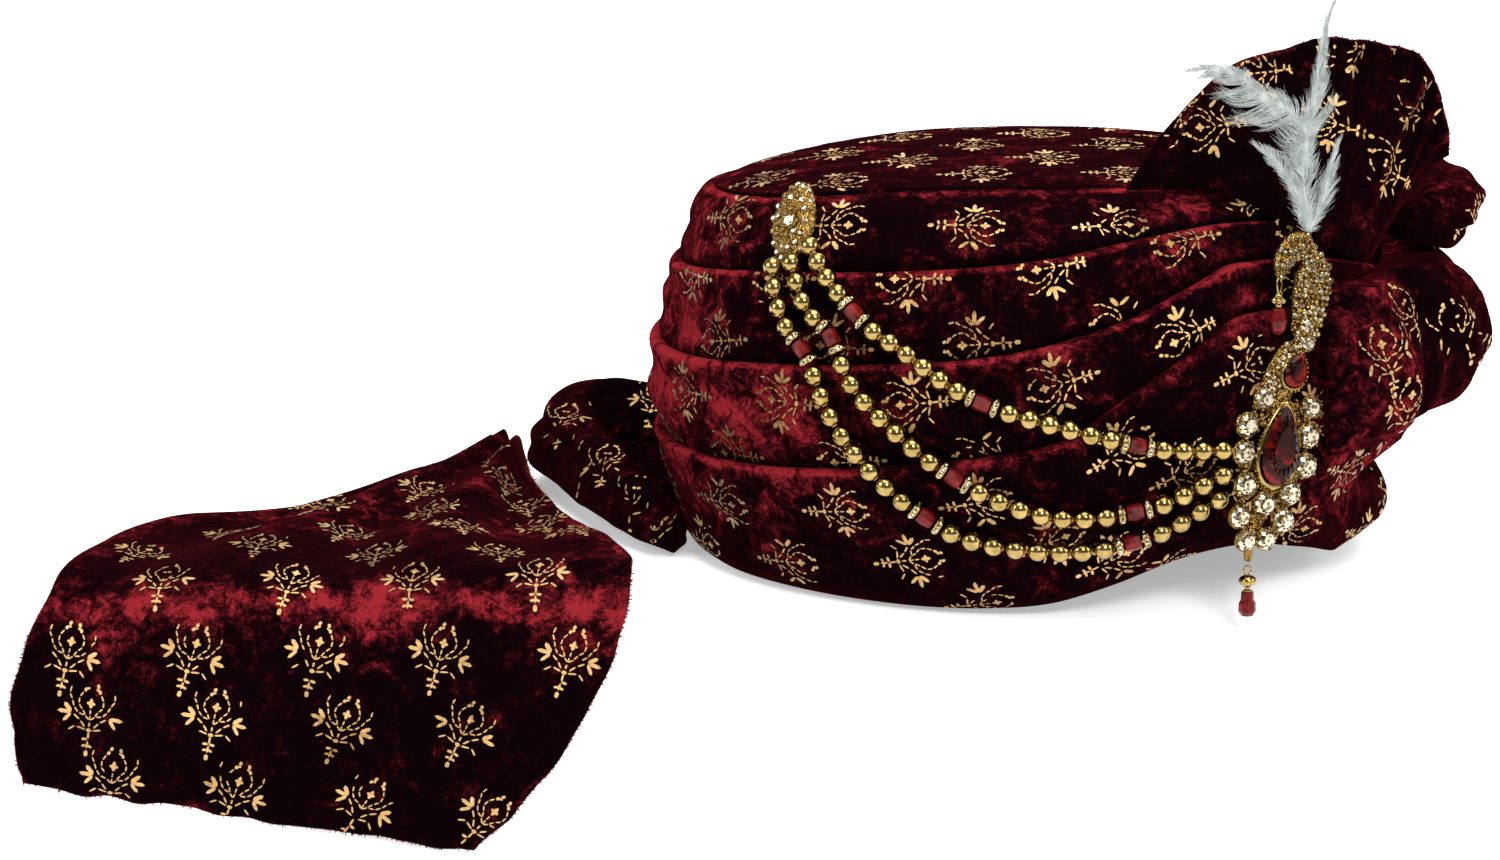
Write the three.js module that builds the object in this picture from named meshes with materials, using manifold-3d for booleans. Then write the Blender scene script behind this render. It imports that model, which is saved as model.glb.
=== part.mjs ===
// Tied turban pagri of crushed velvet, with bead strings, a kalgi brooch and a white feather.
// Millimetres, +Z up, +X to the wearer's front. The origin is the middle of the rim, where the head goes in.
import * as THREE from "three";
import { mergeVertices } from "three/addons/utils/BufferGeometryUtils.js";
import Module from "manifold-3d";

const wasm = await Module();
wasm.setup();

// Head hollow and the wound body round it
const headLength = 200;
const headWidth = 152;
const hollowDepth = 138;
const capWall = 5;
const windEnds = 23;
const windSides = 13;
const bodyHeight = 150;
const frontTrim = 12;
const lipProud = 3;
const lipRecess = 1.4;
const lipRound = 2;
const foldTuck = 8;
const gap = 0.32;

// Front gather and the rolls at the foot of the fan
const gatherBulge = 29;
const gatherSkin = 1.2;
const rollThick = 29;
const rollStand = 16;

// Fan, tail and tail loop
const clothThick = 2.2;
const fanReach = 76;
const pleatDepth = 2.4;
const fanLean = 34;
const fanArch = 4.6;
const fanDish = 7;
const tailWidth = 196;
const tailRun = 172;
const tailHang = 84;
const tailRise = 26;
const loopThick = 38;
const loopReach = 46;
const loopLift = 23;
const ridgeShare = 0.12;

// Bead strings
const beadRadius = 3.3;
const beadPitch = 6.9;
const neckRadius = 1.3;
const rondelleRadius = 3.3;
const rondelleLength = 2.2;
const cylinderRadius = 2.8;
const cylinderLength = 6.4;
const markerSlack = 0.5;

// Brooches, stones and plume
const plateThick = 2.4;
const broochHeight = 30;
const broochWidth = 19;
const broochTurn = -137;
const broochUp = 0.903;
const broochStand = 0.6;
const broochLean = 0.36;
const kalgiHeight = 107;
const kalgiTurn = -58;
const kalgiUp = 0.43;
const kalgiLean = 0.12;
const kalgiTilt = -0.055;
const crystalRadius = 3.7;
const stoneHeight = 3.2;
const rubyLength = 27.5;
const rubyWidth = 15.5;
const smallRubyLength = 12.7;
const smallRubyWidth = 9.6;
const bedWidth = 1.22;
const bedHeight = 1.16;
const cupWidth = 1.16;
const barWidth = 2.2;
const dropLength = 9.4;
const dropWidth = 5.8;
const plumeHeight = 84;
const plumeThick = 2.4;

// Body profile: shares of bodyHeight, of windEnds and of windSides, and shares of the head's half sizes
// for the cap inside the wraps
const BODY = [
  { height: 0, ends: 1.0, sides: 1.0, cap: 1.0 },
  { height: 0.11, ends: 1.22, sides: 1.42, cap: 1.0 },
  { height: 0.22, ends: 1.4, sides: 1.85, cap: 1.0 },
  { height: 0.37, ends: 1.57, sides: 2.3, cap: 1.0 },
  { height: 0.52, ends: 1.57, sides: 2.38, cap: 1.0 },
  { height: 0.62, ends: 1.44, sides: 2.15, cap: 0.99 },
  { height: 0.7, ends: 1.26, sides: 1.92, cap: 0.97 },
  { height: 0.76, ends: 1.16, sides: 1.62, cap: 0.94 },
  { height: 0.83, ends: 0.98, sides: 1.25, cap: 0.9 },
  { height: 0.89, ends: 0.72, sides: 0.82, cap: 0.84 },
  { height: 0.94, ends: 0.5, sides: 0.0, cap: 0.79 },
  { height: 0.967, ends: 0.38, sides: -0.95, cap: 0.765 },
  { height: 0.985, ends: 0.3, sides: -1.6, cap: 0.745 },
  { height: 1.02, ends: 0.05, sides: -2.4, cap: 0.71 },
];

// Head hollow: shares of hollowDepth, and of the head's half length and half width
const HOLLOW = [
  { height: 0, long: 1.0, wide: 1.0 },
  { height: 0.58, long: 0.99, wide: 0.98 },
  { height: 0.78, long: 0.92, wide: 0.89 },
  { height: 0.9, long: 0.76, wide: 0.71 },
  { height: 0.97, long: 0.48, wide: 0.44 },
];

// Folded edges round the body: degrees, then shares of bodyHeight for the rim and the top of each wrap
const FOLDS = [
  { phi: -180, rim: 0, one: 0.3, two: 0.53, three: 0.715, four: 0.9 },
  { phi: -160, rim: 0, one: 0.31, two: 0.545, three: 0.75, four: 0.92 },
  { phi: -137, rim: 0.005, one: 0.335, two: 0.585, three: 0.795, four: 0.95 },
  { phi: -120, rim: 0.005, one: 0.37, two: 0.615, three: 0.82, four: 0.97 },
  { phi: -100, rim: 0.012, one: 0.425, two: 0.655, three: 0.85, four: 0.98 },
  { phi: -90, rim: 0.03, one: 0.465, two: 0.69, three: 0.87, four: 0.981 },
  { phi: -81, rim: 0.075, one: 0.56, two: 0.73, three: 0.893, four: 0.982 },
  { phi: -70, rim: 0.14, one: 0.66, two: 0.795, three: 0.912, four: 0.98 },
  { phi: -60, rim: 0.16, one: 0.73, two: 0.84, three: 0.92, four: 0.978 },
  { phi: -45, rim: 0.12, one: 0.725, two: 0.83, three: 0.91, four: 0.972 },
  { phi: -25, rim: 0.05, one: 0.635, two: 0.775, three: 0.885, four: 0.96 },
  { phi: 0, rim: 0.025, one: 0.51, two: 0.69, three: 0.835, four: 0.93 },
  { phi: 40, rim: 0.006, one: 0.38, two: 0.6, three: 0.78, four: 0.875 },
  { phi: 90, rim: 0, one: 0.33, two: 0.55, three: 0.73, four: 0.85 },
  { phi: 140, rim: 0, one: 0.305, two: 0.525, three: 0.705, four: 0.87 },
  { phi: 180, rim: 0, one: 0.3, two: 0.53, three: 0.715, four: 0.9 },
];

// Dome of the crown above its top wrap: shares of the shoulder's radius and of the rise to the top
const DOME = [
  { out: 0.28, rise: 0.96 },
  { out: 0.55, rise: 0.82 },
  { out: 0.78, rise: 0.55 },
  { out: 0.93, rise: 0.24 },
];

// Front gather: degrees, and the share of gatherBulge that it stands out
const GATHER = [
  { phi: -48, out: 0.06 },
  { phi: -43, out: 0.4 },
  { phi: -36, out: 0.6 },
  { phi: -30, out: 0.52 },
  { phi: -26, out: 0.36 },
  { phi: -21, out: 0.6 },
  { phi: -15, out: 0.92 },
  { phi: -7, out: 1.0 },
  { phi: 2, out: 0.84 },
  { phi: 12, out: 0.56 },
  { phi: 24, out: 0.16 },
];
// Front gather from its foot to its head: share of bodyHeight, and share of the full bulge
const GATHER_RISE = [
  { height: 0.38, out: 0.2 },
  { height: 0.43, out: 0.66 },
  { height: 0.52, out: 0.93 },
  { height: 0.63, out: 1.0 },
  { height: 0.71, out: 0.95 },
  { height: 0.762, out: 0.66 },
];

// Roll at the right foot of the fan: degrees, and shares of bodyHeight, of rollThick and of rollStand
const ROLL = [
  { phi: -15, height: 0.843, thick: 0.42, stand: 0.35 },
  { phi: -9, height: 0.848, thick: 0.8, stand: 0.8 },
  { phi: 1, height: 0.8535, thick: 1.0, stand: 1.0 },
  { phi: 13, height: 0.856, thick: 1.0, stand: 1.0 },
  { phi: 26, height: 0.852, thick: 0.8, stand: 0.5 },
  { phi: 40, height: 0.84, thick: 0.45, stand: 0.02 },
];

// Fan from its left foot round to its right foot. The foot lies on the body: degrees, share of bodyHeight,
// and share of the way in to the middle, where it stands on the dome.
// The outer edge stands off the fan's pivot: shares of fanReach along X and Z, and share of fanLean along Y.
const FAN = [
  { phi: -78, height: 0.985, inset: -0.02, tipX: -0.74, tipZ: 0.63, tipY: 0.15 },
  { phi: -70, height: 0.983, inset: -0.02, tipX: -0.59, tipZ: 0.84, tipY: 0.44 },
  { phi: -62, height: 0.975, inset: -0.02, tipX: -0.38, tipZ: 0.93, tipY: 0.7 },
  { phi: -55, height: 0.95, inset: -0.02, tipX: -0.2, tipZ: 0.96, tipY: 0.94 },
  { phi: -48, height: 0.91, inset: 0, tipX: 0.01, tipZ: 1.0, tipY: 1.1 },
  { phi: -41, height: 0.855, inset: 0, tipX: 0.24, tipZ: 0.96, tipY: 1.18 },
  { phi: -34, height: 0.81, inset: 0, tipX: 0.44, tipZ: 0.9, tipY: 1.18 },
  { phi: -28, height: 0.79, inset: 0, tipX: 0.54, tipZ: 0.68, tipY: 1.2 },
  { phi: -22, height: 0.8, inset: 0, tipX: 0.59, tipZ: 0.42, tipY: 1.25 },
];
const FAN_PIVOT = { phi: -40, height: 0.795 };

// Tail across its width at each row, for its left and its right edge: shares of tailWidth out from the
// body's left side, of tailRun along Y and of tailHang along Z. The middle is lifted by a share of tailRise.
const TAIL = [
  { leftX: -0.369, leftY: 0.62, leftZ: 0.06, rightX: -0.279, rightY: 0.44, rightZ: 0.1, lift: 0.2 },
  { leftX: -0.509, leftY: 0.42, leftZ: 0.02, rightX: -0.259, rightY: 0.25, rightZ: 0.1, lift: 0.28 },
  { leftX: -0.699, leftY: 0.16, leftZ: 0.02, rightX: -0.214, rightY: 0.04, rightZ: 0.12, lift: 0.32 },
  { leftX: -0.889, leftY: -0.02, leftZ: 0.06, rightX: -0.154, rightY: -0.18, rightZ: 0.14, lift: 0.2 },
  { leftX: -1.009, leftY: -0.23, leftZ: 0.12, rightX: -0.089, rightY: -0.37, rightZ: 0.2, lift: 0.1 },
  { leftX: -1.069, leftY: -0.46, leftZ: 0.17, rightX: -0.044, rightY: -0.54, rightZ: 0.23, lift: -0.1 },
  { leftX: -1.099, leftY: -0.62, leftZ: 0.08, rightX: -0.049, rightY: -0.635, rightZ: 0.12, lift: -0.2 },
  { leftX: -1.129, leftY: -0.655, leftZ: -0.12, rightX: -0.079, rightY: -0.66, rightZ: -0.12, lift: -0.1 },
  { leftX: -1.154, leftY: -0.66, leftZ: -0.34, rightX: -0.149, rightY: -0.66, rightZ: -0.44, lift: 0 },
  { leftX: -1.149, leftY: -0.655, leftZ: -0.54, rightX: -0.239, rightY: -0.65, rightZ: -0.74, lift: 0 },
  { leftX: -1.139, leftY: -0.65, leftZ: -0.66, rightX: -0.329, rightY: -0.645, rightZ: -0.97, lift: 0 },
];

// Tail loop beside the rim: shares of loopReach out from the body's left side, of tailRun, of loopLift
// and of loopThick
const LOOP = [
  { out: -0.54, along: 0.38, height: 0.82, thick: 0.5 },
  { out: 0.05, along: 0.51, height: 0.84, thick: 0.73 },
  { out: 0.58, along: 0.55, height: 0.82, thick: 0.8 },
  { out: 0.86, along: 0.42, height: 0.75, thick: 0.78 },
  { out: 0.63, along: 0.26, height: 0.65, thick: 0.7 },
  { out: 0.37, along: 0.1, height: 0.54, thick: 0.66 },
  { out: 0.12, along: -0.04, height: 0.44, thick: 0.58 },
  { out: -0.08, along: -0.13, height: 0.38, thick: 0.4 },
];

// Bead strings: beads in each run, and the route on the body in degrees and shares of bodyHeight
const STRINGS = {
  bead_string_1: {
    runs: [4, 6, 6, 4],
    route: [
      [-132.6, 0.88],
      [-125.8, 0.8],
      [-118.1, 0.71],
      [-112.6, 0.666],
      [-105, 0.592],
      [-98.6, 0.548],
      [-92.5, 0.519],
      [-83.3, 0.478],
      [-76.2, 0.45],
      [-66.2, 0.437],
    ],
  },
  bead_string_2: {
    runs: [4, 7, 7, 4],
    route: [
      [-134.6, 0.8445],
      [-128.8, 0.735],
      [-124.1, 0.684],
      [-119.4, 0.58],
      [-113, 0.485],
      [-105.6, 0.393],
      [-96.7, 0.316],
      [-90.1, 0.287],
      [-84, 0.288],
      [-76.7, 0.311],
      [-69.5, 0.365],
      [-66.1, 0.389],
    ],
  },
  bead_string_3: {
    runs: [4, 8, 8, 4],
    route: [
      [-137.6, 0.832],
      [-135, 0.755],
      [-131.9, 0.69],
      [-127, 0.625],
      [-122, 0.495],
      [-116.6, 0.387],
      [-109.2, 0.283],
      [-103.1, 0.226],
      [-93.4, 0.199],
      [-83.7, 0.203],
      [-76.1, 0.239],
      [-66.4, 0.331],
    ],
  },
};

// Round stones of the kalgi: shares of kalgiHeight right of and above the large ruby's middle, and share
// of crystalRadius
const CRYSTALS = [
  { right: -0.064, up: 0.158, size: 0.9 },
  { right: -0.128, up: 0.076, size: 1 },
  { right: -0.138, up: -0.014, size: 1 },
  { right: -0.132, up: -0.118, size: 1 },
  { right: -0.152, up: -0.222, size: 0.95 },
  { right: 0.114, up: 0.118, size: 0.9 },
  { right: 0.108, up: 0.026, size: 1 },
  { right: 0.096, up: -0.072, size: 1 },
  { right: 0.036, up: -0.158, size: 1 },
  { right: 0.012, up: -0.246, size: 1 },
  { right: -0.06, up: -0.188, size: 1 },
  { right: -0.128, up: -0.302, size: 0.9 },
  { right: -0.052, up: -0.302, size: 0.9 },
  { right: 0.094, up: 0.385, size: 0.62 },
  { right: 0.1, up: 0.327, size: 0.62 },
];

// Pavé bands of the kalgi as chains of discs: shares of kalgiHeight right, up and in radius
const PAVE = {
  column: [
    [0.105, 0.625, 0.048],
    [0.125, 0.565, 0.062],
    [0.122, 0.5, 0.066],
    [0.11, 0.435, 0.062],
    [0.098, 0.37, 0.052],
    [0.092, 0.31, 0.044],
  ],
  hook: [
    [0.06, 0.645, 0.03],
    [0.018, 0.6, 0.026],
    [-0.004, 0.545, 0.022],
  ],
  strip: [
    [0.075, 0.33, 0.03],
    [0.028, 0.3, 0.028],
    [-0.008, 0.255, 0.028],
    [-0.035, 0.2, 0.028],
    [-0.058, 0.142, 0.024],
  ],
  spine: [
    [0.092, 0.31, 0.03],
    [0.056, 0.243, 0.03],
    [0.01, 0.11, 0.03],
    [0, -0.06, 0.03],
    [-0.04, -0.17, 0.03],
    [-0.088, -0.27, 0.03],
    [-0.104, -0.355, 0.026],
    [-0.106, -0.375, 0.022],
  ],
};

// Plume blades from the head of the kalgi, in shares of plumeHeight: tip right, up and forward, bend, width
const PLUME = [
  { right: 0.15, up: 0.93, forward: 0.1, bend: 0.08, wide: 0.13 },
  { right: -0.62, up: 0.73, forward: 0.12, bend: 0.18, wide: 0.17 },
  { right: -0.33, up: 0.4, forward: 0.16, bend: 0.06, wide: 0.08 },
  { right: 0.13, up: 0.38, forward: 0.16, bend: -0.04, wide: 0.08 },
];

const ringSteps = 32;
const beadSides = 10;
const diagonalTie = 0.3;

const velvet = { color: 0x5c1018, roughness: 0.85, metalness: 0 };
const gold = { color: 0xd9a941, roughness: 0.25, metalness: 1 };
const crystal = { color: 0xf2efe6, roughness: 0.05, metalness: 0 };
const ruby = { color: 0x9c0f12, roughness: 0.08, metalness: 0 };
const feather = { color: 0xeef0ee, roughness: 0.9, metalness: 0 };

const turban = new THREE.Group();

function addPiece(name, geometry, finish) {
  const mesh = new THREE.Mesh(geometry, new THREE.MeshStandardMaterial(finish));
  mesh.name = name;
  turban.add(mesh);
  return mesh;
}

// Smooth reading of a table between its rows
function readTable(rows, key, field, at) {
  const last = rows.length - 1;
  let i = 0;
  while (i < last - 1 && at > rows[i + 1][key]) i++;
  const slope = (a, b) => (rows[b][field] - rows[a][field]) / (rows[b][key] - rows[a][key]);
  const span = rows[i + 1][key] - rows[i][key];
  const t = THREE.MathUtils.clamp((at - rows[i][key]) / span, 0, 1);
  const here = slope(i, i + 1);
  const before = i > 0 ? slope(i - 1, i) : here;
  const after = i < last - 1 ? slope(i + 1, i + 2) : here;
  const m0 = before * here <= 0 ? 0 : (before + here) / 2;
  const m1 = after * here <= 0 ? 0 : (after + here) / 2;
  const t2 = t * t;
  const t3 = t2 * t;
  return (
    rows[i][field] * (2 * t3 - 3 * t2 + 1) +
    m0 * span * (t3 - 2 * t2 + t) +
    rows[i + 1][field] * (3 * t2 - 2 * t3) +
    m1 * span * (t3 - t2)
  );
}

const radians = THREE.MathUtils.degToRad;

function foldHeight(fold, phi) {
  return bodyHeight * readTable(FOLDS, "phi", fold, phi);
}

// Half length and half width of the wound body at a height
function envelope(z) {
  const share = z / bodyHeight;
  return {
    long: headLength / 2 + capWall + windEnds * readTable(BODY, "height", "ends", share),
    wide: headWidth / 2 + capWall + windSides * readTable(BODY, "height", "sides", share),
  };
}

// Half length and half width of the cap that the wraps lie on
function capSize(z) {
  const share = readTable(BODY, "height", "cap", z / bodyHeight);
  return {
    long: (headLength / 2) * share + capWall,
    wide: (headWidth / 2) * share + capWall,
  };
}

function onEllipse(size, phi, z, out) {
  const turn = radians(phi);
  return new THREE.Vector3((size.long + out) * Math.cos(turn), (size.wide + out) * Math.sin(turn), z);
}

// Place on the wound body, which is trimmed flatter at the wearer's front
function onBody(phi, z, out) {
  const size = envelope(z);
  const front = Math.max(0, Math.cos(radians(phi)));
  return onEllipse({ long: size.long - frontTrim * front ** 3, wide: size.wide }, phi, z, out);
}

// Direction square to the body's side at an angle
function sideways(phi, z) {
  const size = envelope(z);
  const turn = radians(phi);
  return new THREE.Vector3(Math.cos(turn) / size.long, Math.sin(turn) / size.wide, 0).normalize();
}

function makeGeometry(points, faces) {
  const geometry = new THREE.BufferGeometry().setFromPoints(points);
  geometry.setIndex(faces.flat());
  let volume = 0;
  for (const [a, b, c] of faces) {
    volume += points[a].dot(points[b].clone().cross(points[c])) / 6;
  }
  if (volume < 0) {
    geometry.setIndex(faces.map(([a, b, c]) => [a, c, b]).flat());
  }
  return geometry;
}

// Skin through rings of equal length, joined end to end or closed by a point in the middle of each end.
// Each patch is split along its shorter diagonal, so that two skins that face each other are split alike.
// A near tie goes to the diagonal that starts on the ring farther out.
function loft(rings, joined, firstPoint, lastPoint) {
  const count = rings[0].length;
  const points = rings.flat();
  const faces = [];
  const strips = joined ? rings.length : rings.length - 1;
  for (let i = 0; i < strips; i++) {
    const here = i * count;
    const next = ((i + 1) % rings.length) * count;
    for (let j = 0; j < count; j++) {
      const [a, b, c, d] = [here + j, next + j, next + ((j + 1) % count), here + ((j + 1) % count)];
      const tie = points[a].length() > points[b].length() ? diagonalTie : -diagonalTie;
      const shorter = points[a].distanceTo(points[c]) < points[b].distanceTo(points[d]) + tie;
      faces.push(...(shorter ? [[a, b, c], [a, c, d]] : [[a, b, d], [b, c, d]]));
    }
  }
  if (!joined) {
    const middle = (ring) => ring.reduce((sum, p) => sum.add(p), new THREE.Vector3()).divideScalar(count);
    const first = points.push(firstPoint ?? middle(rings[0])) - 1;
    const last = points.push(lastPoint ?? middle(rings[rings.length - 1])) - 1;
    const start = (rings.length - 1) * count;
    for (let j = 0; j < count; j++) {
      const k = (j + 1) % count;
      faces.push([first, j, k]);
      faces.push([last, start + k, start + j]);
    }
  }
  return makeGeometry(points, faces);
}

// A sheet of even thickness through a grid of points
function sheetSolid(grid, thick) {
  const rows = grid.length;
  const columns = grid[0].length;
  const at = (i, j) => grid[THREE.MathUtils.clamp(i, 0, rows - 1)][THREE.MathUtils.clamp(j, 0, columns - 1)];
  const top = [];
  const under = [];
  for (let i = 0; i < rows; i++) {
    for (let j = 0; j < columns; j++) {
      const across = at(i, j + 1).clone().sub(at(i, j - 1));
      const down = at(i + 1, j).clone().sub(at(i - 1, j));
      const normal = across.cross(down).setLength(thick / 2);
      top.push(at(i, j).clone().add(normal));
      under.push(at(i, j).clone().sub(normal));
    }
  }
  const points = top.concat(under);
  const below = top.length;
  const faces = [];
  const quad = (a, b, c, d) => faces.push([a, b, c], [a, c, d]);
  for (let i = 0; i < rows - 1; i++) {
    for (let j = 0; j < columns - 1; j++) {
      const a = i * columns + j;
      quad(a, a + columns, a + columns + 1, a + 1);
      quad(below + a, below + a + 1, below + a + columns + 1, below + a + columns);
    }
  }
  const lastRow = (rows - 1) * columns;
  for (let j = 0; j < columns - 1; j++) {
    quad(j, j + 1, below + j + 1, below + j);
    quad(lastRow + j + 1, lastRow + j, below + lastRow + j, below + lastRow + j + 1);
  }
  for (let i = 0; i < rows - 1; i++) {
    const a = i * columns;
    const b = a + columns - 1;
    quad(a + columns, a, below + a, below + a + columns);
    quad(b, b + columns, below + b + columns, below + b);
  }
  return makeGeometry(points, faces);
}

function welded(geometry) {
  geometry.deleteAttribute("normal");
  geometry.deleteAttribute("uv");
  return mergeVertices(geometry, 1e-4);
}

function toSolid(geometry) {
  const bare = welded(geometry.clone());
  return new wasm.Manifold(
    new wasm.Mesh({
      numProp: 3,
      vertProperties: new Float32Array(bare.attributes.position.array),
      triVerts: new Uint32Array(bare.index.array),
    }),
  );
}

function joinAll(geometries) {
  const ease = 0.02;
  const mesh = geometries
    .map(toSolid)
    .reduce((sum, solid) => sum.add(solid))
    .simplify(ease)
    .getMesh();
  const geometry = new THREE.BufferGeometry();
  geometry.setAttribute("position", new THREE.BufferAttribute(new Float32Array(mesh.vertProperties), 3));
  geometry.setIndex(new THREE.BufferAttribute(new Uint32Array(mesh.triVerts), 1));
  return geometry;
}

const turns = Array.from({ length: ringSteps }, (_, i) => -180 + (360 * i) / ringSteps);

// Folded edges from the rim up
const FOLD_ORDER = ["rim", "one", "two", "three", "four"];

// Height where the seam under a fold meets the cap
function seamHeight(fold, phi) {
  const height = foldHeight(fold, phi);
  if (fold === "rim") return height + capWall * 0.4;
  const below = foldHeight(FOLD_ORDER[FOLD_ORDER.indexOf(fold) - 1], phi);
  return height - Math.min(foldTuck, 0.45 * (height - below));
}

// Wound bands. Each upper edge is folded and stands proud, and the band above runs down behind it.
function makeWrap(lower, upper) {
  const isRim = lower === "rim";
  const step = isRim ? 0 : gap;
  const sections = turns.map((phi) => {
    const top = foldHeight(upper, phi);
    const foot = foldHeight(lower, phi) + step;
    const rise = top - foot;
    const cap = (z) => onEllipse(capSize(z), phi, z, gap);
    return [
      onBody(phi, foot, isRim ? -windSides * 0.3 : -lipRecess),
      onBody(phi, foot + 0.24 * rise, 0),
      onBody(phi, foot + 0.62 * rise, 0.4 * lipProud),
      onBody(phi, top - Math.min(lipRound, 0.2 * rise), lipProud),
      onBody(phi, top, 0.6 * lipProud),
      onBody(phi, top, -lipRecess),
      cap(seamHeight(upper, phi)),
      cap(seamHeight(lower, phi) + step),
    ];
  });
  return loft(sections, true);
}

addPiece("wrap_1", makeWrap("rim", "one"), velvet);
addPiece("wrap_2", makeWrap("one", "two"), velvet);
addPiece("wrap_3", makeWrap("two", "three"), velvet);
addPiece("wrap_4", makeWrap("three", "four"), velvet);

// Height of the domed top over a shoulder at an angle, at a share of the shoulder's radius
function domePoint(phi, row) {
  const shoulder = foldHeight("four", phi) + gap;
  const edge = onBody(phi, shoulder, -lipRecess);
  const height = THREE.MathUtils.lerp(shoulder, bodyHeight, row.rise);
  return new THREE.Vector3(edge.x * row.out, edge.y * row.out, height);
}

// Hollow cap with the domed top, the head's hollow inside it
function makeCrown() {
  const ring = (at) => turns.map(at);
  const shoulder = (phi) => foldHeight("four", phi) + gap;
  const hollow = (row) =>
    ring((phi) => {
      const size = { long: (headLength / 2) * row.long, wide: (headWidth / 2) * row.wide };
      const rim = foldHeight("rim", phi) + capWall * 0.6;
      return onEllipse(size, phi, Math.max(row.height * hollowDepth, rim + row.height), 0);
    });
  const seam = (fold) =>
    ring((phi) => {
      const z = seamHeight(fold, phi);
      return onEllipse(capSize(z), phi, fold === "four" ? z + gap : z, 0);
    });
  const rings = [
    ...DOME.map((row) => ring((phi) => domePoint(phi, row))),
    ring((phi) => onBody(phi, shoulder(phi), -lipRecess)),
    ...[...FOLD_ORDER].reverse().map(seam),
    ...HOLLOW.map(hollow),
  ];
  return loft(rings, false, new THREE.Vector3(0, 0, bodyHeight), new THREE.Vector3(0, 0, hollowDepth));
}

addPiece("crown", makeCrown(), velvet);

// Pleated puff of cloth that stands off the wraps at the front
function makeGather() {
  const clear = lipProud + 3.5 * gap;
  const sections = GATHER.map(({ phi, out: swell }) => {
    const outer = GATHER_RISE.map((row) =>
      onBody(phi, row.height * bodyHeight, clear + gatherSkin + gatherBulge * swell * row.out),
    );
    const inner = GATHER_RISE.map((row) => onBody(phi, row.height * bodyHeight, clear)).reverse();
    return outer.concat(inner);
  });
  return loft(sections, false);
}

addPiece("front_gather", makeGather(), velvet);

// Roll of cloth that comes round the side of the body
function makeRoll() {
  const reach = rollThick / 2;
  const clear = lipProud + 3 * gap;
  const centres = ROLL.map(({ phi, height, thick, stand }) =>
    onBody(phi, height * bodyHeight, clear + rollStand * stand + reach * thick),
  );
  const rings = centres.map((centre, i) => {
    const along = centres[Math.min(i + 1, centres.length - 1)]
      .clone()
      .sub(centres[Math.max(i - 1, 0)])
      .normalize();
    const out = sideways(ROLL[i].phi, centre.z);
    const up = out.clone().cross(along).normalize();
    return ringAround(centre, out, up, reach * ROLL[i].thick, reach * ROLL[i].thick, 10);
  });
  return loft(rings, false);
}

function ringAround(centre, axisA, axisB, radiusA, radiusB, sides) {
  return Array.from({ length: sides }, (_, k) => {
    const turn = (2 * Math.PI * k) / sides;
    return centre
      .clone()
      .addScaledVector(axisA, radiusA * Math.cos(turn))
      .addScaledVector(axisB, radiusB * Math.sin(turn));
  });
}

addPiece("side_roll", makeRoll(), velvet);

// Spread fan of cloth, dished like a shell, with pleats that open from its foot
function makeFan() {
  const steps = 6;
  const pleats = 5;
  const columns = 2 * (FAN.length - 1);
  const clear = lipProud + 0.75 * clothThick;
  const pivot = onBody(FAN_PIVOT.phi, FAN_PIVOT.height * bodyHeight, clear);
  const grid = [];
  for (let j = 0; j <= steps; j++) {
    const t = j / steps;
    const belly = Math.sin(Math.PI * t);
    const row = [];
    for (let i = 0; i <= columns; i++) {
      const phi = THREE.MathUtils.lerp(FAN[0].phi, FAN[FAN.length - 1].phi, i / columns);
      const read = (field) => readTable(FAN, "phi", field, phi);
      const foot = onBody(phi, read("height") * bodyHeight, clear);
      foot.x *= 1 - read("inset");
      foot.y *= 1 - read("inset");
      const tip = new THREE.Vector3(fanReach * read("tipX"), fanLean * read("tipY"), 0);
      tip.z = fanReach * read("tipZ");
      const point = foot.lerp(tip.add(pivot), t);
      const pleat = pleatDepth * Math.sin((2 * Math.PI * pleats * i) / columns) * t;
      point.z += fanArch * belly;
      point.y += fanDish * belly * (2 * t - 0.6) + pleat;
      row.push(point);
    }
    grid.push(row);
  }
  return sheetSolid(grid, clothThick);
}

addPiece("fan", makeFan(), velvet);

// The body's left side, where the tail and its loop come out
function leftSide() {
  return -(headLength / 2 + capWall + windEnds * 1.5);
}

// Loose tail: laid at the back, over an edge at the front, and hanging from there
function makeTail() {
  const rows = 14;
  const columns = 10;
  const ridges = 3;
  const start = leftSide();
  const { lerp, smoothstep } = THREE.MathUtils;
  const keyed = TAIL.map((row, i) => ({ ...row, at: i / (TAIL.length - 1) }));
  const grid = [];
  for (let i = 0; i <= rows; i++) {
    const at = i / rows;
    const read = (field) => readTable(keyed, "at", field, at);
    const row = [];
    for (let j = 0; j <= columns; j++) {
      const t = j / columns;
      const fold = Math.sin(Math.PI * t) * read("lift");
      const ridge = ridgeShare * Math.sin(2 * Math.PI * ridges * t + 5 * at) * (1 - 0.6 * at);
      const lift = tailRise * (fold + ridge);
      const laid = smoothstep(0.62 - at, 0, 0.2);
      const x = start + tailWidth * lerp(read("leftX"), read("rightX"), t);
      const y = tailRun * lerp(read("leftY"), read("rightY"), t) - lift * (1 - laid) * 0.5;
      const z = tailHang * lerp(read("leftZ"), read("rightZ"), t) + lift * laid;
      row.push(new THREE.Vector3(x, y, z));
    }
    grid.push(row);
  }
  return sheetSolid(grid, clothThick);
}

addPiece("tail", makeTail(), velvet);

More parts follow.
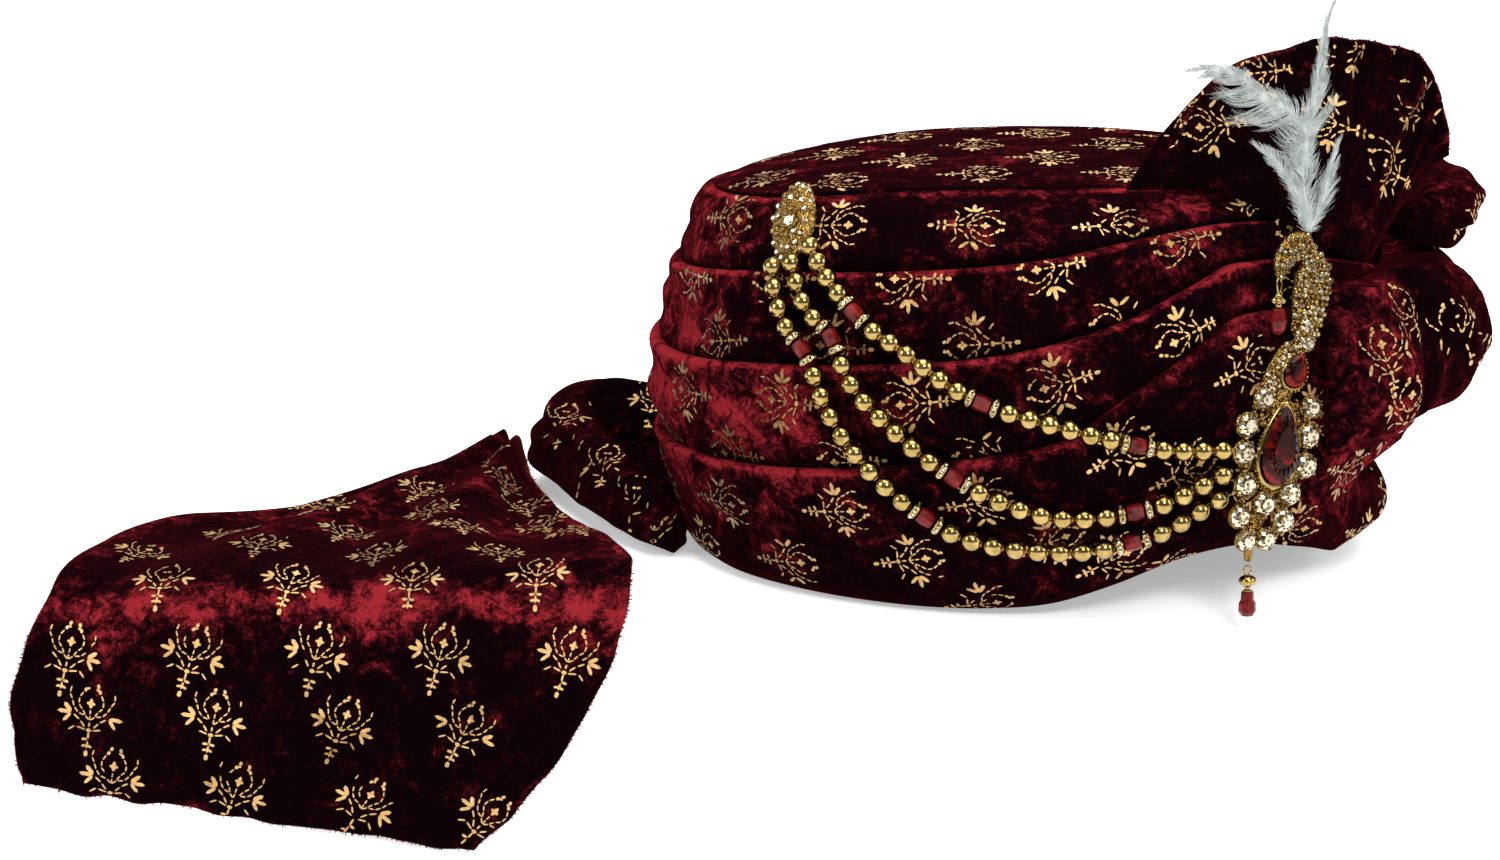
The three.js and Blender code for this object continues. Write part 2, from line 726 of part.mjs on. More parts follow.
// Twisted loop of cloth that leaves the rim on the left
function makeLoop() {
  const steps = 13;
  const sides = 12;
  const side = leftSide();
  const route = LOOP.map(
    (row) => new THREE.Vector3(side - loopReach * row.out, tailRun * row.along, loopLift * row.height),
  );
  const curve = new THREE.CatmullRomCurve3(route);
  const keyed = LOOP.map((row, i) => ({ ...row, at: i / (LOOP.length - 1) }));
  const rings = [];
  for (let i = 0; i <= steps; i++) {
    const at = i / steps;
    const centre = curve.getPoint(at);
    const along = curve.getTangent(at);
    const out = new THREE.Vector3(0, 0, 1).cross(along).normalize();
    const up = along.clone().cross(out).normalize();
    const radius = (loopThick / 2) * readTable(keyed, "at", "thick", at);
    const ring = ringAround(centre, out, up, radius, radius, sides);
    ring.forEach((point, k) => {
      const turn = (2 * Math.PI * k) / sides;
      point.sub(centre).multiplyScalar(1 + ridgeShare * Math.cos(3 * turn + Math.PI * at)).add(centre);
    });
    rings.push(ring);
  }
  return loft(rings, false);
}

addPiece("tail_loop", makeLoop(), velvet);

// Profile of a string from its start: [distance, radius] at each ring
function stringProfile(runs) {
  const profile = [[0, neckRadius]];
  let at = 0;
  const bead = () => {
    const round = beadRadius * 0.94;
    profile.push([at + beadPitch * 0.24, round], [at + beadPitch * 0.72, round]);
    at += beadPitch;
    profile.push([at, neckRadius]);
  };
  const marker = () => {
    const lengths = [
      [rondelleLength, rondelleRadius],
      [cylinderLength, cylinderRadius],
      [rondelleLength, rondelleRadius],
    ];
    for (const [length, radius] of lengths) {
      if (length > rondelleLength) profile.push([at + 0.05 * length, radius], [at + 0.95 * length, radius]);
      else profile.push([at + 0.5 * length, radius]);
      at += length;
    }
    at += markerSlack;
    profile.push([at, neckRadius]);
  };
  runs.forEach((count, i) => {
    for (let k = 0; k < count; k++) bead();
    if (i < runs.length - 1) marker();
  });
  return profile;
}

// Fused string of gold beads, with red cylinders between rondelles, along its route on the body
function makeString({ route, runs }) {
  const stand = lipProud + beadRadius + gap;
  const places = route.map(([phi, share]) => onBody(phi, share * bodyHeight, stand));
  const curve = new THREE.CatmullRomCurve3(places);
  curve.arcLengthDivisions = 400;
  const profile = stringProfile(runs);
  const total = profile[profile.length - 1][0];
  const rings = profile.map(([distance, radius]) => {
    const at = distance / total;
    const centre = curve.getPointAt(at);
    const along = curve.getTangentAt(at);
    const out = new THREE.Vector3(centre.x / headLength, centre.y / headWidth, 0).normalize();
    const up = out.clone().cross(along).normalize();
    return ringAround(centre, along.clone().cross(up).normalize(), up, radius, radius, beadSides);
  });
  return loft(rings, false);
}

for (const [name, string] of Object.entries(STRINGS)) {
  addPiece(name, makeString(string), gold);
}

// Frame that stands on the body: right along it, up, and out from it
function standFrame(phi, z, out, lean) {
  const normal = sideways(phi, z);
  const across = new THREE.Vector3(-normal.y, normal.x, 0);
  const face = normal.clone().multiplyScalar(Math.cos(lean)).add(new THREE.Vector3(0, 0, Math.sin(lean)));
  const up = face.clone().cross(across).normalize();
  const frame = new THREE.Matrix4().makeBasis(across, up, face);
  return frame.setPosition(onBody(phi, z, out));
}

// Cut stone with a table: girdle outline, table and a flat bottom
function cutStone(outline, height) {
  const ring = (share, z) => outline.map(([x, y]) => new THREE.Vector3(x * share, y * share, z));
  return loft([ring(0.82, 0), ring(1, height * 0.42), ring(0.56, height)], false);
}

function roundOutline(radius, sides) {
  return Array.from({ length: sides }, (_, k) => {
    const turn = (2 * Math.PI * (k + 0.5)) / sides;
    return [radius * Math.cos(turn), radius * Math.sin(turn)];
  });
}

// Drop outline, its point up
function dropOutline(width, height, sides) {
  return Array.from({ length: sides }, (_, k) => {
    const turn = Math.PI / 2 + (2 * Math.PI * k) / sides;
    const narrow = Math.pow(Math.max(0, 1 - Math.sin(turn)) / 2, 0.55);
    return [(width / 2) * Math.cos(turn) * (0.35 + 0.82 * narrow), (height / 2) * Math.sin(turn)];
  });
}

function place(geometry, frame) {
  return geometry.clone().applyMatrix4(frame);
}

// Small almond brooch that holds the strings
const broochFrame = standFrame(broochTurn, broochUp * bodyHeight, lipProud + broochStand, broochLean);
const almondSides = 12;
const almond = Array.from({ length: almondSides }, (_, i) => {
  const turn = (2 * Math.PI * i) / almondSides;
  const pinch = 1 - 0.12 * Math.abs(Math.sin(turn));
  return [(broochWidth / 2) * Math.cos(turn) * pinch, (broochHeight / 2) * Math.sin(turn)];
});
const broochPlate = loft(
  [
    almond.map(([x, y]) => new THREE.Vector3(x * 0.9, y * 0.92, 0)),
    almond.map(([x, y]) => new THREE.Vector3(x, y, plateThick * 0.6)),
    almond.map(([x, y]) => new THREE.Vector3(x * 0.82, y * 0.88, plateThick * 1.5)),
  ],
  false,
);
addPiece("small_brooch", place(broochPlate, broochFrame), gold);
const broochStone = cutStone(roundOutline(crystalRadius * 0.8, 8), stoneHeight * 0.8);
broochStone.translate(0, 0, plateThick * 1.5 + gap);
addPiece("brooch_stone", place(broochStone, broochFrame), crystal);

// Kalgi: gold frame with pavé bands, rings and cups, its stones, the drops and the plume
const kalgiFrame = standFrame(kalgiTurn, kalgiUp * bodyHeight, lipProud + gap, kalgiLean).multiply(
  new THREE.Matrix4().makeRotationZ(-kalgiTilt),
);
const k = kalgiHeight;
const smallRuby = { right: 0.056 * k, up: 0.243 * k };
const hookEnd = { right: -0.006 * k, up: 0.521 * k };
const footRing = { right: -0.108 * k, up: -0.402 * k };
const plumeRoot = { right: 0.108 * k, up: 0.686 * k };

// Outline of a band along a chain of [x, y, half width], pointed at both ends
function bandOutline(chain) {
  const left = [];
  const right = [];
  chain.forEach(([x, y, r], i) => {
    const [x0, y0] = chain[Math.max(i - 1, 0)];
    const [x1, y1] = chain[Math.min(i + 1, chain.length - 1)];
    const along = new THREE.Vector2(x1 - x0, y1 - y0).normalize();
    if (i === 0) left.push([x - along.x * r, y - along.y * r]);
    left.push([x + along.y * r, y - along.x * r]);
    if (i === chain.length - 1) left.push([x + along.x * r, y + along.y * r]);
    right.unshift([x - along.y * r, y + along.x * r]);
  });
  return left.concat(right);
}

function shiftOutline(outline, dx, dy) {
  return outline.map(([x, y]) => [x + dx, y + dy]);
}

// One plate from outlines that touch each other
function joinedPlate(outlines, thick) {
  const ease = 0.08;
  const joined = outlines
    .map((outline) => new wasm.CrossSection([outline], "NonZero"))
    .reduce((sum, section) => sum.add(section))
    .simplify(ease);
  const paths = joined.toPolygons().map((path) => path.map(([x, y]) => new THREE.Vector2(x, y)));
  const shape = new THREE.Shape(paths.find((path) => THREE.ShapeUtils.area(path) > 0));
  shape.holes = paths.filter((path) => THREE.ShapeUtils.area(path) < 0).map((path) => new THREE.Path(path));
  return welded(new THREE.ExtrudeGeometry(shape, { depth: thick, bevelEnabled: false }));
}

function kalgiPlate() {
  const sized = ([x, y, r]) => [x * k, y * k, r * k];
  const bar = barWidth / 2;
  const outlines = Object.values(PAVE).map((chain) => bandOutline(chain.map(sized)));
  for (const { right, up, size } of CRYSTALS) {
    const reach = ([x, y]) => Math.hypot(x - right, y - up);
    const root = PAVE.spine.reduce((best, row) => (reach(row) < reach(best) ? row : best));
    outlines.push(shiftOutline(roundOutline(crystalRadius * size * cupWidth, 8), right * k, up * k));
    outlines.push(bandOutline([[right * k, up * k, bar], [root[0] * k, root[1] * k, bar]]));
  }
  outlines.push(dropOutline(rubyWidth * bedWidth, rubyLength * bedHeight, 16));
  const smallBed = dropOutline(smallRubyWidth * bedWidth, smallRubyLength * bedHeight, 12);
  outlines.push(shiftOutline(smallBed, smallRuby.right, smallRuby.up));
  return joinedPlate(outlines, plateThick);
}

addPiece("kalgi_frame", place(kalgiPlate(), kalgiFrame), gold);

function addStone(name, outline, right, up, finish, height) {
  const stone = cutStone(outline, height);
  stone.translate(right, up, plateThick + gap);
  addPiece(name, place(stone, kalgiFrame), finish);
}

addStone("ruby_large", dropOutline(rubyWidth, rubyLength, 14), 0, 0, ruby, stoneHeight * 1.2);
const smallRubyOutline = dropOutline(smallRubyWidth, smallRubyLength, 12);
addStone("ruby_small", smallRubyOutline, smallRuby.right, smallRuby.up, ruby, stoneHeight);
CRYSTALS.forEach(({ right, up, size }, i) => {
  const outline = roundOutline(crystalRadius * size, 8);
  addStone("crystal_" + (i + 1), outline, right * k, up * k, crystal, stoneHeight * size);
});

// Drops, hung on the kalgi's face: shares of dropLength down from the top, and of dropWidth
const HOOK_DROP = [
  { down: 0, wide: 0.28 },
  { down: 0.3, wide: 0.28 },
  { down: 0.42, wide: 0.76 },
  { down: 0.6, wide: 0.9 },
  { down: 0.78, wide: 0.55 },
  { down: 0.9, wide: 0.83 },
  { down: 1.6, wide: 1.0 },
  { down: 1.85, wide: 0.55 },
];
const PENDANT = [
  { down: 0, wide: 0.28 },
  { down: 0.1, wide: 0.66 },
  { down: 0.28, wide: 0.72 },
  { down: 0.44, wide: 0.35 },
  { down: 0.6, wide: 0.35 },
  { down: 0.68, wide: 0.79 },
  { down: 1.1, wide: 0.9 },
  { down: 1.4, wide: 0.69 },
];

function makeDrop(rows, top) {
  const sides = 10;
  const axisX = new THREE.Vector3(1, 0, 0);
  const axisZ = new THREE.Vector3(0, 0, 1);
  const rings = rows.map(({ down, wide }) => {
    const radius = (dropWidth / 2) * wide;
    return ringAround(new THREE.Vector3(0, -down * dropLength, 0), axisX, axisZ, radius, radius, sides);
  });
  const drop = loft(rings, false);
  drop.translate(top.right, top.up, plateThick / 2);
  return place(drop, kalgiFrame);
}

addPiece("hook_drop", makeDrop(HOOK_DROP, hookEnd), gold);
addPiece("pendant", makeDrop(PENDANT, footRing), gold);

// Plume: feather blades fused at the quill that stands in the head of the kalgi
function makePlume() {
  const steps = 6;
  const parts = PLUME.map((row) => {
    const rings = [];
    for (let i = 0; i <= steps; i++) {
      const t = i / steps;
      const bend = Math.sin(Math.PI * t) * row.bend;
      const centre = new THREE.Vector3(
        plumeRoot.right + plumeHeight * (row.right * t - bend * 0.5),
        plumeRoot.up + plumeHeight * (row.up * t + bend * 0.3),
        plateThick / 2 + plumeHeight * row.forward * t,
      );
      const leaf = Math.sin(Math.PI * Math.pow(t, 0.8)) * (1 - 0.35 * t);
      const width = plumeHeight * row.wide * (0.16 + 0.84 * leaf);
      const along = new THREE.Vector3(row.right, row.up, 0).normalize();
      const across = new THREE.Vector3(along.y, -along.x, 0);
      rings.push(ringAround(centre, across, new THREE.Vector3(0, 0, 1), width, plumeThick / 2, 4));
    }
    return loft(rings, false);
  });
  return joinAll(parts);
}

addPiece("feather_plume", place(makePlume(), kalgiFrame), feather);

export default turban;
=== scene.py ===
import itertools
import math

import bpy
import numpy as np
from bpy.props import FloatProperty, FloatVectorProperty, IntProperty, PointerProperty
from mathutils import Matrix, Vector
from mathutils.bvhtree import BVHTree


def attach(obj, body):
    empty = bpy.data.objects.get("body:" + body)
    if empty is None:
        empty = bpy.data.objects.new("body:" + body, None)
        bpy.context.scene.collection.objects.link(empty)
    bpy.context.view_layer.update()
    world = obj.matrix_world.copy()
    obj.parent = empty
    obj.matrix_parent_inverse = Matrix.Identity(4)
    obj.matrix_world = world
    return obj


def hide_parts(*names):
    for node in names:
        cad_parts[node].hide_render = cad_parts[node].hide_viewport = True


bl_info = {
    "name": "Tied velvet turban",
    "version": (1, 0, 0),
    "blender": (4, 5, 0),
    "location": "View3D > Sidebar > Turban",
    "description": "Crushed velvet turban with foil motifs, bead strings, a kalgi and a feather",
    "category": "Add Mesh",
}

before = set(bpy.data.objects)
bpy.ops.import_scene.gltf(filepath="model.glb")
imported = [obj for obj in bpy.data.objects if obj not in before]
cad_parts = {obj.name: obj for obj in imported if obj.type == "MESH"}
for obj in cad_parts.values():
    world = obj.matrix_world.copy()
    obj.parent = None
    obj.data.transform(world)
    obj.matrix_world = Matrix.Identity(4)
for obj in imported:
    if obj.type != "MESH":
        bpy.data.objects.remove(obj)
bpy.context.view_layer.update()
MM = 0.001
UP = np.array([0, 0, 1.0])


def table(columns, rows):
    """Columns of numbers by their names."""
    return dict(zip(columns.split(), np.array(rows, float).T))


# Sizes of the wound body in millimetres, as in the solid model
HEAD_LENGTH = 200
HEAD_WIDTH = 152
HOLLOW_DEPTH = 138
CAP_WALL = 5
WIND_ENDS = 23
WIND_SIDES = 13
BODY_HEIGHT = 150
FRONT_TRIM = 12
LIP_PROUD = 3
LIP_RECESS = 1.4
FOLD_TUCK = 8
GAP = 0.32
GATHER_BULGE = 29
ROLL_THICK = 29
ROLL_STAND = 16
CLOTH_THICK = 2.2
FAN_REACH = 76
PLEAT_DEPTH = 2.4
FAN_LEAN = 34
FAN_ARCH = 4.6
FAN_DISH = 7
TAIL_WIDTH = 196
TAIL_RUN = 172
TAIL_HANG = 84
TAIL_RISE = 26
LOOP_THICK = 38
LOOP_REACH = 46
LOOP_LIFT = 23
RIDGE_SHARE = 0.12
BEAD_RADIUS = 3.3
BEAD_PITCH = 6.9
RONDELLE_LENGTH = 2.2
CYLINDER_LENGTH = 6.4
PLATE_THICK = 2.4
KALGI_HEIGHT = 107
CRYSTAL_RADIUS = 3.7
STONE_HEIGHT = 3.2
RUBY_LENGTH = 27.5
RUBY_WIDTH = 15.5
SMALL_RUBY_LENGTH = 12.7
SMALL_RUBY_WIDTH = 9.6
LEFT_SIDE = -(HEAD_LENGTH / 2 + CAP_WALL + WIND_ENDS * 1.5)

# Body profile: shares of the height, of the winding at the ends and at the sides, and of the head's
# half sizes
BODY = table("height ends sides cap", (
    (0, 1.0, 1.0, 1.0),
    (0.11, 1.22, 1.42, 1.0),
    (0.22, 1.4, 1.85, 1.0),
    (0.37, 1.57, 2.3, 1.0),
    (0.52, 1.57, 2.38, 1.0),
    (0.62, 1.44, 2.15, 0.99),
    (0.7, 1.26, 1.92, 0.97),
    (0.76, 1.16, 1.62, 0.94),
    (0.83, 0.98, 1.25, 0.9),
    (0.89, 0.72, 0.82, 0.84),
    (0.94, 0.5, 0.0, 0.79),
    (0.967, 0.38, -0.95, 0.765),
    (0.985, 0.3, -1.6, 0.745),
    (1.02, 0.05, -2.4, 0.71),
))

# Hollow for the head: share of its depth, then of its half length and half width
HOLLOW = table("height long wide", (
    (0, 1.0, 1.0),
    (0.58, 0.99, 0.98),
    (0.78, 0.92, 0.89),
    (0.9, 0.76, 0.71),
    (0.97, 0.48, 0.44),
))
HOLLOW_ROWS = (0, 0.15, 0.3, 0.45, 0.58, 0.68, 0.78, 0.85, 0.9, 0.94, 0.97)

# Folded edges: degrees, then shares of the height for the rim and the top of each wrap
FOLDS = table("phi rim one two three four", (
    (-180, 0, 0.3, 0.53, 0.715, 0.9),
    (-160, 0, 0.31, 0.545, 0.75, 0.92),
    (-137, 0.005, 0.335, 0.585, 0.795, 0.95),
    (-120, 0.005, 0.37, 0.615, 0.82, 0.97),
    (-100, 0.012, 0.425, 0.655, 0.85, 0.98),
    (-90, 0.03, 0.465, 0.69, 0.87, 0.981),
    (-81, 0.075, 0.56, 0.73, 0.893, 0.982),
    (-70, 0.14, 0.66, 0.795, 0.912, 0.98),
    (-60, 0.16, 0.73, 0.84, 0.92, 0.978),
    (-45, 0.12, 0.725, 0.83, 0.91, 0.972),
    (-25, 0.05, 0.635, 0.775, 0.885, 0.96),
    (0, 0.025, 0.51, 0.69, 0.835, 0.93),
    (40, 0.006, 0.38, 0.6, 0.78, 0.875),
    (90, 0, 0.33, 0.55, 0.73, 0.85),
    (140, 0, 0.305, 0.525, 0.705, 0.87),
    (180, 0, 0.3, 0.53, 0.715, 0.9),
))
FOLD_ORDER = ("rim", "one", "two", "three", "four")

# Dome over its shoulder: share of the radius, share of the rise. Its half length and half width
DOME = table("out rise", ((0, 1.0), (0.28, 0.96), (0.55, 0.82), (0.78, 0.55), (0.93, 0.24), (1.0, 0)))
DOME_LONG = 110
DOME_WIDE = 82

# Gather: degrees and how far it stands out, and the same over its height
GATHER = table("phi out", (
    (-48, 0.06),
    (-43, 0.4),
    (-36, 0.6),
    (-30, 0.52),
    (-26, 0.36),
    (-21, 0.6),
    (-15, 0.92),
    (-7, 1.0),
    (2, 0.84),
    (12, 0.56),
    (24, 0.16),
))
GATHER_RISE = table("height out", (
    (0.38, 0.2),
    (0.43, 0.66),
    (0.52, 0.93),
    (0.63, 1.0),
    (0.71, 0.95),
    (0.762, 0.66),
))
# Motifs on the gather: degrees, share of the height, lean
GATHER_MOTIFS = (
    (-40, 0.6, 0.5), (-36, 0.47, 0.3), (-31, 0.68, 0.8), (-18, 0.6, 0.4),
    (-11, 0.48, -0.4), (-4, 0.68, 0.6), (6, 0.56, 0.2), (14, 0.66, -0.3),
)

# Roll: degrees, share of the height, and shares of its thickness and of its stand off the body
ROLL = table("phi height thick stand", (
    (-15, 0.843, 0.42, 0.35),
    (-9, 0.848, 0.8, 0.8),
    (1, 0.8535, 1.0, 1.0),
    (13, 0.856, 1.0, 1.0),
    (26, 0.852, 0.8, 0.5),
    (40, 0.84, 0.45, 0.02),
))
# Motifs on the roll: degrees, and turn from outward to upward
ROLL_MOTIFS = ((-6, -0.3), (6, 0.5), (18, -0.1), (29, 0.6))

# Fan: degrees, share of the height and inset of its foot, and where its edge stands from the pivot
FAN = table("phi height inset tipX tipZ tipY", (
    (-78, 0.985, -0.02, -0.74, 0.63, 0.15),
    (-70, 0.983, -0.02, -0.59, 0.84, 0.44),
    (-62, 0.975, -0.02, -0.38, 0.93, 0.7),
    (-55, 0.95, -0.02, -0.2, 0.96, 0.94),
    (-48, 0.91, 0, 0.01, 1.0, 1.1),
    (-41, 0.855, 0, 0.24, 0.96, 1.18),
    (-34, 0.81, 0, 0.44, 0.9, 1.18),
    (-28, 0.79, 0, 0.54, 0.68, 1.2),
    (-22, 0.8, 0, 0.59, 0.42, 1.25),
))
FAN_PIVOT = (-40, 0.795)
FAN_RIDGES = table("at drift depth", (
    (0.5, -0.16, 1.2),
    (0.585, 0.08, 2.6),
    (0.68, 0.0, 3.6),
    (0.735, 0.1, 1.6),
    (0.82, -0.03, 3.4),
    (0.885, 0.05, 2.2),
    (0.955, 0, 3.0),
))
# Motifs on the fan's front and back: share up the fan, share across it
FAN_MOTIFS = ((0.66, 0.1), (0.8, 0.36), (0.4, 0.24), (0.5, 0.62), (0.97, 0.6), (0.42, 0.84), (0.78, 0.84))
FAN_BACK_MOTIFS = ((0.75, 0.12), (0.45, 0.25), (0.8, 0.4), (0.45, 0.55), (0.8, 0.7), (0.5, 0.8))

# Tail: its left and right edges from its back to its hem, and its lift, as shares of the tail's sizes
TAIL = table("leftX leftY leftZ rightX rightY rightZ lift", (
    (-0.369, 0.62, 0.06, -0.279, 0.44, 0.1, 0.2),
    (-0.509, 0.42, 0.02, -0.259, 0.25, 0.1, 0.28),
    (-0.699, 0.16, 0.02, -0.214, 0.04, 0.12, 0.32),
    (-0.889, -0.02, 0.06, -0.154, -0.18, 0.14, 0.2),
    (-1.009, -0.23, 0.12, -0.089, -0.37, 0.2, 0.1),
    (-1.069, -0.46, 0.17, -0.044, -0.54, 0.23, -0.1),
    (-1.099, -0.62, 0.08, -0.049, -0.635, 0.12, -0.2),
    (-1.129, -0.655, -0.12, -0.079, -0.66, -0.12, -0.1),
    (-1.154, -0.66, -0.34, -0.149, -0.66, -0.44, 0),
    (-1.149, -0.655, -0.54, -0.239, -0.65, -0.74, 0),
    (-1.139, -0.65, -0.66, -0.329, -0.645, -0.97, 0),
))
TAIL["at"] = np.linspace(0, 1, len(TAIL["lift"]))

# Loop: places along its middle line and its thickness, as shares of the loop's sizes
LOOP = table("out along height thick", (
    (-0.54, 0.38, 0.82, 0.5),
    (0.05, 0.51, 0.84, 0.73),
    (0.58, 0.55, 0.82, 0.8),
    (0.86, 0.42, 0.75, 0.78),
    (0.63, 0.26, 0.65, 0.7),
    (0.37, 0.1, 0.54, 0.66),
    (0.12, -0.04, 0.44, 0.58),
    (-0.08, -0.13, 0.38, 0.4),
))
LOOP["at"] = np.linspace(0, 1, len(LOOP["thick"]))
LOOP_FLOOR = -0.2
# Motifs on the loop: share along it, and turn from forward to upward
LOOP_MOTIFS = ((0.2, 0.9), (0.38, 0.3), (0.5, 1.0), (0.62, 0.2), (0.72, 0.8), (0.86, 0.4), (0.95, 0.1))

# Bead strings: beads in each run, and the route in degrees and shares of the height
STRINGS = {
    "bead_string_1": ((4, 6, 6, 4), (
        (-132.6, 0.88), (-125.8, 0.8), (-118.1, 0.71), (-112.6, 0.666), (-105, 0.592),
        (-98.6, 0.548), (-92.5, 0.519), (-83.3, 0.478), (-76.2, 0.45), (-66.2, 0.437),
    )),
    "bead_string_2": ((4, 7, 7, 4), (
        (-134.6, 0.8445), (-128.8, 0.735), (-124.1, 0.684), (-119.4, 0.58),
        (-113, 0.485), (-105.6, 0.393), (-96.7, 0.316), (-90.1, 0.287),
        (-84, 0.288), (-76.7, 0.311), (-69.5, 0.365), (-66.1, 0.389),
    )),
    "bead_string_3": ((4, 8, 8, 4), (
        (-137.6, 0.832), (-135, 0.755), (-131.9, 0.69), (-127, 0.625),
        (-122, 0.495), (-116.6, 0.387), (-109.2, 0.283), (-103.1, 0.226),
        (-93.4, 0.199), (-83.7, 0.203), (-76.1, 0.239), (-66.4, 0.331),
    )),
}
MARKER_SLACK = 0.5
# Turned bodies of a string, as distance along it and radius. For cylinder and rondelle the distance is
# a share of half the length
NECK = ((-0.55, 1.0), (-0.35, 1.35), (0.35, 1.35), (0.55, 1.0))
CYLINDER = ((-1, 1.4), (-0.86, 2.6), (-0.3, 2.85), (0.3, 2.85), (0.86, 2.6), (1, 1.4))
RONDELLE = ((-1, 2.0), (-1, 3.1), (-0.5, 3.3), (-0.4, 2.7), (0.4, 2.7), (0.5, 3.3), (1, 3.1), (1, 2.0))

# Small brooch: degrees, share of the height, stand and lean on the body, and its sizes
BROOCH_TURN = -137
BROOCH_UP = 0.903
BROOCH_STAND = 0.6
BROOCH_LEAN = 0.36
BROOCH_WIDTH = 19
BROOCH_HEIGHT = 30
# Its plate as share and height, and its rows of stones as share, count, radius and height
BROOCH_PLATE = ((0.88, 0), (0.96, 1.2), (0.92, 2.2), (0.7, 3.1), (0.3, 3.6))
BROOCH_ROWS = ((0.88, 18, 1.25, 1.7), (0.62, 13, 1.3, 2.7), (0.34, 7, 1.3, 3.1))
# Setting of a round stone and cross section of a gold band, as shares
CUP = ((0, 0.8), (0.4, 1), (0.75, 1.08), (1, 1.04), (1, 0.9))
BAND_PROFILE = (
    (-1, 0), (-1.02, 0.45), (-0.86, 0.85), (-0.4, 1.05), (0, 1.1),
    (0.4, 1.05), (0.86, 0.85), (1.02, 0.45), (1, 0),
)

# Kalgi: degrees, share of the height, lean and tilt on the body
KALGI_TURN = -58
KALGI_UP = 0.43
KALGI_LEAN = 0.12
KALGI_TILT = 0.055
# Its round stones (right, up, size) and gold bands (right, up, half width), as shares of its height
CRYSTALS = (
    (-0.064, 0.158, 0.9), (-0.128, 0.076, 1), (-0.138, -0.014, 1),
    (-0.132, -0.118, 1), (-0.152, -0.222, 0.95), (0.114, 0.118, 0.9),
    (0.108, 0.026, 1), (0.096, -0.072, 1), (0.036, -0.158, 1),
    (0.012, -0.246, 1), (-0.06, -0.188, 1), (-0.128, -0.302, 0.9),
    (-0.052, -0.302, 0.9), (0.094, 0.385, 0.62), (0.1, 0.327, 0.62),
)
BANDS = {
    "column": (
        (0.105, 0.625, 0.048), (0.125, 0.565, 0.062), (0.122, 0.5, 0.066),
        (0.11, 0.435, 0.062), (0.098, 0.37, 0.052), (0.092, 0.31, 0.044),
    ),
    "hook": ((0.11, 0.615, 0.05), (0.07, 0.65, 0.042), (0.018, 0.61, 0.035), (-0.004, 0.545, 0.024)),
    "strip": (
        (0.075, 0.33, 0.03), (0.028, 0.3, 0.028), (-0.008, 0.255, 0.028),
        (-0.035, 0.2, 0.028), (-0.058, 0.142, 0.024),
    ),
    "spine": (
        (0.092, 0.31, 0.03), (0.056, 0.243, 0.03), (0.01, 0.11, 0.03), (0, -0.06, 0.03),
        (-0.04, -0.17, 0.03), (-0.088, -0.27, 0.03), (-0.104, -0.355, 0.026), (-0.106, -0.375, 0.022),
    ),
}
# Its rubies: right and up as shares of its height, width, length, lean, share of the stone height
RUBIES = (
    (0, 0, RUBY_WIDTH, RUBY_LENGTH, 0.16, 1.0),
    (0.056, 0.243, SMALL_RUBY_WIDTH, SMALL_RUBY_LENGTH, 0.3, 0.8),
)
RUBY_RIM = ((1.2, 0), (1.22, 1.6), (1.14, 2.9), (1.04, 3.2), (1.0, 2.6))
# Its drops: the wire as steps from the hook, then turned bodies as distance down and radius
HOOK_WIRE = ((0, 3.5, 0), (-0.9, 0.6, 0.4), (0, -3, 0.2), (0.9, 0.6, 0.4), (0, 3.4, 0))
HOOK_STONE = ((0, 1.0), (1.2, 2.2), (5.0, 3.1), (8.4, 2.5), (9.8, 1.0))
PENDANT_BEAD = ((0, 1.2), (0.7, 2.6), (2.0, 3.1), (3.3, 2.6), (4.1, 1.2))
PENDANT_CAP = ((0, 0.5), (0.4, 0.7), (0.9, 0.7), (1.2, 1.6), (1.6, 1.7))
PENDANT_STONE = ((0, 1.4), (0.7, 2.2), (3.4, 2.3), (4.6, 3.0), (7.4, 3.1), (9.0, 2.1))

# Plumes: shaft points (right, up in millimetres from the root), then rows of share of the shaft, reach of
# the barbs on its left and right in millimetres, and their lean from the shaft in degrees
PLUME_ROOT = (0.108, 0.686)
SHAFT_RADIUS = 0.42
PLUMES = (
    (
        ((0, 0), (-2.7, 11.2), (-4.7, 22.4), (-4.2, 31), (-2.1, 42.7),
         (-1.5, 57.1), (-0.1, 70.1), (3.2, 79.2), (6.7, 86)),
        ((0, 6, 6, 40), (0.15, 12, 11, 40), (0.35, 12, 14, 34), (0.55, 8, 11, 26),
         (0.75, 6, 9, 20), (0.9, 5, 7, 14), (1, 5, 6, 7)),
    ),
    (
        ((-3, 20), (-4, 30), (-6.4, 37.9), (-12.7, 42.9), (-20.2, 46.2),
         (-27.2, 50.6), (-34.2, 55.1), (-41.8, 58.2), (-53.1, 58.2)),
        ((0, 14, 5, 56), (0.3, 20, 8, 54), (0.55, 19, 7, 46),
         (0.75, 14, 6, 38), (0.9, 9, 5, 24), (1, 6, 5, 8)),
    ),
    (
        ((0, 0), (-8.8, 17.6), (-17, 26.3), (-24, 30.8)),
        ((0, 4, 4, 40), (0.4, 8, 7, 36), (0.8, 6, 5, 24), (1, 5, 4, 9)),
    ),
    (
        ((0, 0), (4.6, 11), (6.4, 20), (8.6, 29.6)),
        ((0, 4, 4, 40), (0.4, 7, 8, 34), (0.8, 6, 6, 22), (1, 4, 5, 9)),
    ),
)

